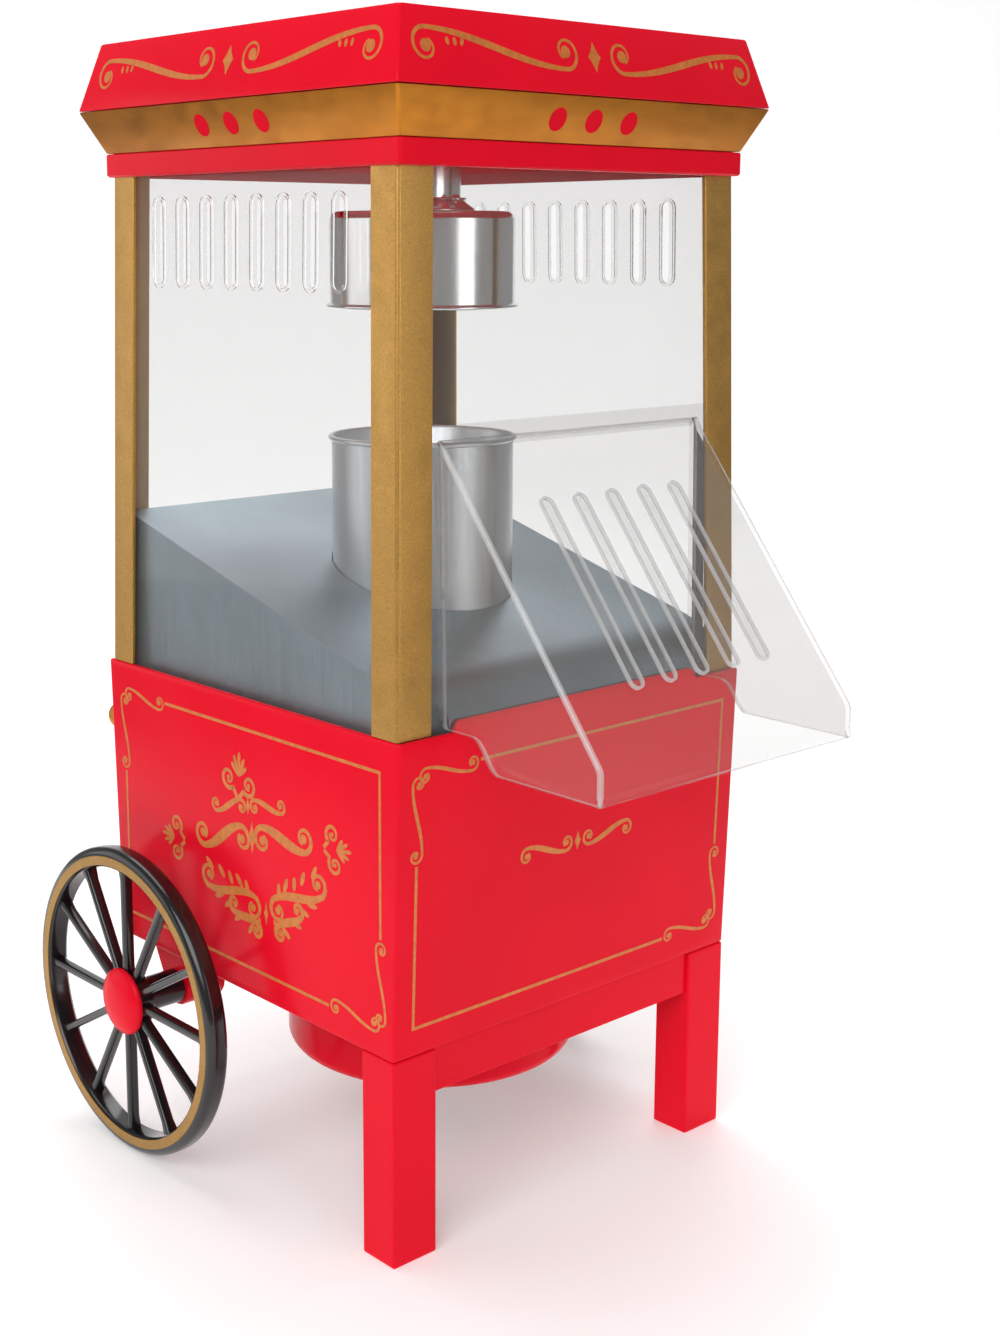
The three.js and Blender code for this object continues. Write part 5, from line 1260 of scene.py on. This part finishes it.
class Print:
    """Collects printed shapes on one face; they stand a hair above it and reach a little into it."""

    def __init__(self, face):
        self.face = face
        self.parts = []

    def high(self):
        """How high the next shape stands: shapes that cross differ by a few thousandths."""
        return sizes().print_height / MM + PRINT_STEP * (len(self.parts) % PRINT_STEPS)

    def line(self, points, half):
        """A straight or curved line of even or changing width."""
        self.parts.append(stroke(np.asarray(points, float), half, self.face, -PRINT_DEPTH, self.high()))

    def shape(self, outline):
        """A filled outline."""
        self.parts.append(plate(outline, self.face, -PRINT_DEPTH, self.high()))

    def dot(self, place, radius, steps):
        """A filled round spot."""
        self.shape(ellipse(place, radius, radius, steps=steps))

    def scroll(self, centre, length, height, thin, thick, turn=0.0, mirror=1):
        """A scroll with filled dots in its spirals, thickest in the middle."""
        path, dot = scroll(length, height)
        share = np.linspace(0, np.pi, len(path))
        half = thin + (thick - thin) * np.sin(share) ** 3
        self.line(placed(path, centre, turn, mirror), half)
        for place in (dot, -dot):
            self.dot(placed(place[None], centre, turn, mirror)[0], 0.215 * height, 20)

    def lozenge(self, centre, half_x, half_y, pinch=0.12):
        """A diamond whose four sides curve in a little."""
        corners = np.array([[0, half_y], [half_x, 0], [0, -half_y], [-half_x, 0]])
        share = np.linspace(0, 1, 7)[:-1, None]
        sides = [(a + (b - a) * share) * (1 - pinch * 4 * share * (1 - share))
                 for a, b in zip(corners, np.roll(corners, -1, 0))]
        self.shape(np.concatenate(sides)[::-1] + np.asarray(centre))


class PopcornPrint(Operator):
    """Printed gold borders and scrolls on the cabinet and the canopy"""
    bl_idname = "popcorn.print"
    bl_label = "Printed gold"

    def execute(self, context):
        canopy, cornice, cabinet = [], [], []
        for side in ("front", "left", "right", "rear"):
            roof = Print(face_of(side, RIDGE_HALF, ROOF_HALF, RIDGE, ROOF_TOP))
            self.canopy_face(roof)
            canopy += roof.parts
            band = Print(face_of(side, BAND_HALF, RIDGE_HALF - CORNICE_INSET, CORNICE_BOTTOM, RIDGE - GAP))
            for x in OVALS:
                band.shape(ellipse((x, OVAL_HEIGHT), *OVAL_HALF))
            cornice += band.parts
            low, high = cabinet_half(CABINET_BOTTOM), cabinet_half(CABINET_TOP)
            panel = Print(face_of(side, low, high, CABINET_BOTTOM, CABINET_TOP))
            if side != "rear":
                self.border(panel)
            if side in ("left", "right"):
                self.side_ornament(panel)
            if side == "front":
                self.front_ornament(panel)
            cabinet += panel.parts
        piece("canopy_scrolls", canopy, "print", "canopy_top")
        piece("cornice_ovals", cornice, "red", "canopy_top")
        piece("cabinet_lines", cabinet, "print", "base")
        return {"FINISHED"}

    def canopy_face(self, face):
        """Two mirrored scrolls, a lozenge between them and three small dots beyond each."""
        for mirror in (1, -1):
            face.scroll((mirror * -49.6, CANOPY_LINE), 80.0, 10.9, 0.5, 1.35, mirror=mirror)
            for x, tilt in ((-73.5, 5), (-70.0, 0), (-66.6, -20)):
                face.shape(ellipse((mirror * x, CANOPY_LINE + 1.1), 0.8, 1.5, mirror * tilt, 14))
        face.lozenge((0, CANOPY_LINE), 3.3, 5.8)

    def border(self, face):
        """A rectangle of lines, open at two opposite corners, where scrolls fill the gaps."""
        half = sizes().line_width / MM / 2
        side, low, high = BORDER_HALF, BORDER_LOW, BORDER_HIGH
        face.line([(BORDER_GAP_ALONG - side, high), (side, high)], half)
        face.line([(side, high + half), (side, low + BORDER_GAP_UP)], half)
        face.line([(side - BORDER_GAP_ALONG, low), (-side, low)], half)
        face.line([(-side, low - half), (-side, high - BORDER_GAP_UP)], half)
        for sign, corner_v in ((-1, high), (1, low)):
            corner = np.array([sign * side, corner_v])
            face.scroll(corner + [sign * -15.5, sign], 29.0, 5.2, 0.42, 0.75)
            face.scroll(corner + [0, sign * 18.0], 33.0, 5.2, 0.42, 0.75, turn=90, mirror=-1)

    def fleur(self, face, centre, size, turn=0.0):
        """Two curled tendrils back to back, each a circle's arc of shrinking radius, under a fan of leaves
        whose half width is a sine narrowed towards the tip."""
        turns = np.linspace(0, 1, 50)[:, None]
        angle = np.radians(225 + 430 * turns)
        eye = np.array([[0.60, -0.12]])
        curl = eye + (0.40 - 0.27 * turns) * np.concatenate((np.cos(angle), np.sin(angle)), 1)
        path = size * np.concatenate(([[0.05, -0.72]], curl))
        for mirror in (1, -1):
            face.line(placed(path, centre, turn, mirror), size * np.linspace(0.085, 0.045, len(path)))
            face.dot(placed(size * eye, centre, turn, mirror)[0], 0.09 * size, 16)
        share = np.linspace(0, 2 * np.pi, 24, endpoint=False)
        for tilt, length in FLEUR_LEAVES:
            leaf = np.stack((0.075 * np.sin(share) * (1 - 0.5 * np.cos(share)),
                             length * (1.1 - np.cos(share))), 1)
            face.shape(placed(placed(size * leaf, (0, 0.05 * size), tilt), centre, turn))

    def leaf_scroll(self, face, centre, turn, mirror):
        """Half of a leafy scroll: a long curl with a smaller one under it and leaves along their backs."""
        for place, length, height, angle in SCROLL_CURLS:
            path, dot = scroll(length, height)
            share = np.sin(np.linspace(0, np.pi, len(path)))
            face.line(placed(placed(path, place, angle), centre, turn, mirror), 0.55 + 1.25 * share ** 2)
            for spot in (dot, -dot):
                spot = placed(placed(spot[None], place, angle), centre, turn, mirror)[0]
                face.dot(spot, 0.2 * height, 16)
        for x, y, angle, reach in SCROLL_LEAVES:
            face.shape(placed(ellipse((x, y), reach, 1.15, angle, 18), centre, turn, mirror))

    def side_ornament(self, face):
        """Plain ornament that climbs towards the front: fleurs above and at both ends, paired scrolls in
        the middle and leafy scrolls below. On the right it is mirrored."""
        toward = face.face[1] @ np.array([0, -1, 0])
        slant = SLANT * toward

        def climb(x, v, along, above):
            """A step along the slope and above it, from a fixed point."""
            return placed(np.array([[along, above]]), (x * toward, v), slant)[0]

        for x, v, size, turn in FLEURS:
            self.fleur(face, (x * toward, v), size, turn if toward > 0 else -turn)
        for mirror in (1, -1):
            face.scroll(climb(6, 68, mirror * 21, 0), 37, 9, 0.7, 2.3, slant, mirror)
            face.scroll(climb(6, 68, mirror * 13.5, 13), 23, 5.0, 0.5, 1.3, slant, mirror)
            self.leaf_scroll(face, climb(14, 42, 0, 0), slant, mirror)
        face.lozenge(climb(6, 68, 0, 0), 2.2, 7.0)
        face.lozenge(climb(6, 68, 0, 13), 1.4, 3.8)
        face.lozenge(climb(14, 42, 0, -4), 1.3, 5.0)

    def front_ornament(self, face):
        """One long flourish across the middle of the front."""
        for mirror in (1, -1):
            face.scroll((mirror * -17.5, FRONT_LINE), 28, 5.6, 0.45, 1.2, mirror=mirror)
        face.lozenge((0, FRONT_LINE), 1.7, 4.0)


# ---------------------------------------------------------------- rear fittings

FOOT_RADIUS, POST_RADIUS = 7, 4.2
BUSH_BORE, BUSH_NECK, BUSH_HEAD = 3.3, 5.3, 8.3
BUSH_GROOVES = np.array([(5.6, 3.2), (5.5, 4.4), (4.9, 4.6), (4.9, 5.2), (5.2, 5.4), (5.1, 6.6), (4.6, 6.8),
                         (4.6, 7.4), (4.9, 7.6), (4.7, 8.9), (4.3, 9.1), (4.3, 9.6)])


class PopcornRear(Operator):
    """Push handle, switch and cord bush"""
    bl_idname = "popcorn.rear"
    bl_label = "Rear fittings"

    def execute(self, context):
        self.handle()
        softened("switch_frame", "switch_bezel", "dark", "base", 0.5)
        softened("switch_rocker_key", "switch_rocker", "black", "rocker", 0.5, 3)
        self.bush()
        return {"FINISHED"}

    def handle(self):
        """A round bar with half-round ends, on two turned posts that flare at the wall."""
        _, y, z = (BAR_LOW + BAR_HIGH) / 2
        radius, half = (BAR_HIGH[2] - BAR_LOW[2]) / 2, BAR_HIGH[0]
        right = arc((0, half - radius), radius, 0, 90, 10)
        left = arc((0, radius - half), radius, -90, 0, 10)
        left[0, 0] = right[-1, 0] = 0
        piece("push_bar", [turned([*left, *right], (0, y, z), "x", 64)], "cornice_gold", "base", "handle_bar")
        end = y - radius + 1.2
        for _, side in MIRRORED:
            x, _, z = between("handle_post_" + side)
            wall, foot, stem = span("handle_post_" + side)[0][1], FOOT_RADIUS, POST_RADIUS
            post = [(0, wall), (foot - 0.4, wall), (foot, wall + 0.4), (foot, wall + 1.4),
                    (foot - 0.6, wall + 2.0), (stem + 0.6, wall + 2.6), (stem, wall + 3.6), (stem, end),
                    (0, end)]
            piece("bar_post_" + side, [turned(post, (x, 0, z), "y", 48)], "cornice_gold", "base",
                  "handle_post_" + side)

    def bush(self):
        """A tapered bush with ring grooves: its section carried round the cord's axis."""
        low, high = span("cord_gland")
        x, _, z = between("cord_gland")
        start, end = low[1], high[1]
        bore, neck, head, face = BUSH_BORE, BUSH_NECK, BUSH_HEAD, start + 7
        profile = [(bore, start), (neck, start), (neck, face), (head - 0.3, face), (head, face + 0.4),
                   (head, face + 1.6), (head - 0.4, face + 2.0), *(BUSH_GROOVES + [0, face]),
                   (4.4, end - 0.4), (4.1, end), (bore, end), (bore, start)]
        piece("cord_bush", [turned(profile, (x, 0, z), "y", 48)], "dark", "base", "cord_gland")


# ---------------------------------------------------------------- sidebar and registration

STEPS = (PopcornStage, PopcornCabinet, PopcornUnderside, PopcornWheels, PopcornWorks, PopcornWindows,
         PopcornChute, PopcornCanopy, PopcornKettle, PopcornPrint, PopcornRear)


class VIEW3D_PT_popcorn(Panel):
    """Lists the sizes, the colours and the building steps"""
    bl_label = "Popcorn Maker"
    bl_idname = "VIEW3D_PT_popcorn"
    bl_space_type = "VIEW_3D"
    bl_region_type = "UI"
    bl_category = "Popcorn Maker"

    def draw(self, context):
        layout = self.layout
        for settings in (context.scene.popcorn_sizes, context.scene.popcorn_colours):
            box = layout.box()
            for name in settings.__annotations__:
                box.prop(settings, name)
        for step in STEPS:
            layout.operator(step.bl_idname)


CLASSES = (PopcornSizes, PopcornColours, *STEPS, VIEW3D_PT_popcorn)


def register():
    """Makes the classes and the scene's settings known to Blender."""
    for item in CLASSES:
        bpy.utils.register_class(item)
    bpy.types.Scene.popcorn_sizes = PointerProperty(type=PopcornSizes)
    bpy.types.Scene.popcorn_colours = PointerProperty(type=PopcornColours)


def unregister():
    """Takes them away again."""
    del bpy.types.Scene.popcorn_colours
    del bpy.types.Scene.popcorn_sizes
    for item in reversed(CLASSES):
        bpy.utils.unregister_class(item)


def main():
    """Builds every piece in order."""
    register()
    for step in STEPS:
        group, name = step.bl_idname.split(".")
        getattr(getattr(bpy.ops, group), name)()


if __name__ == "__main__":
    main()
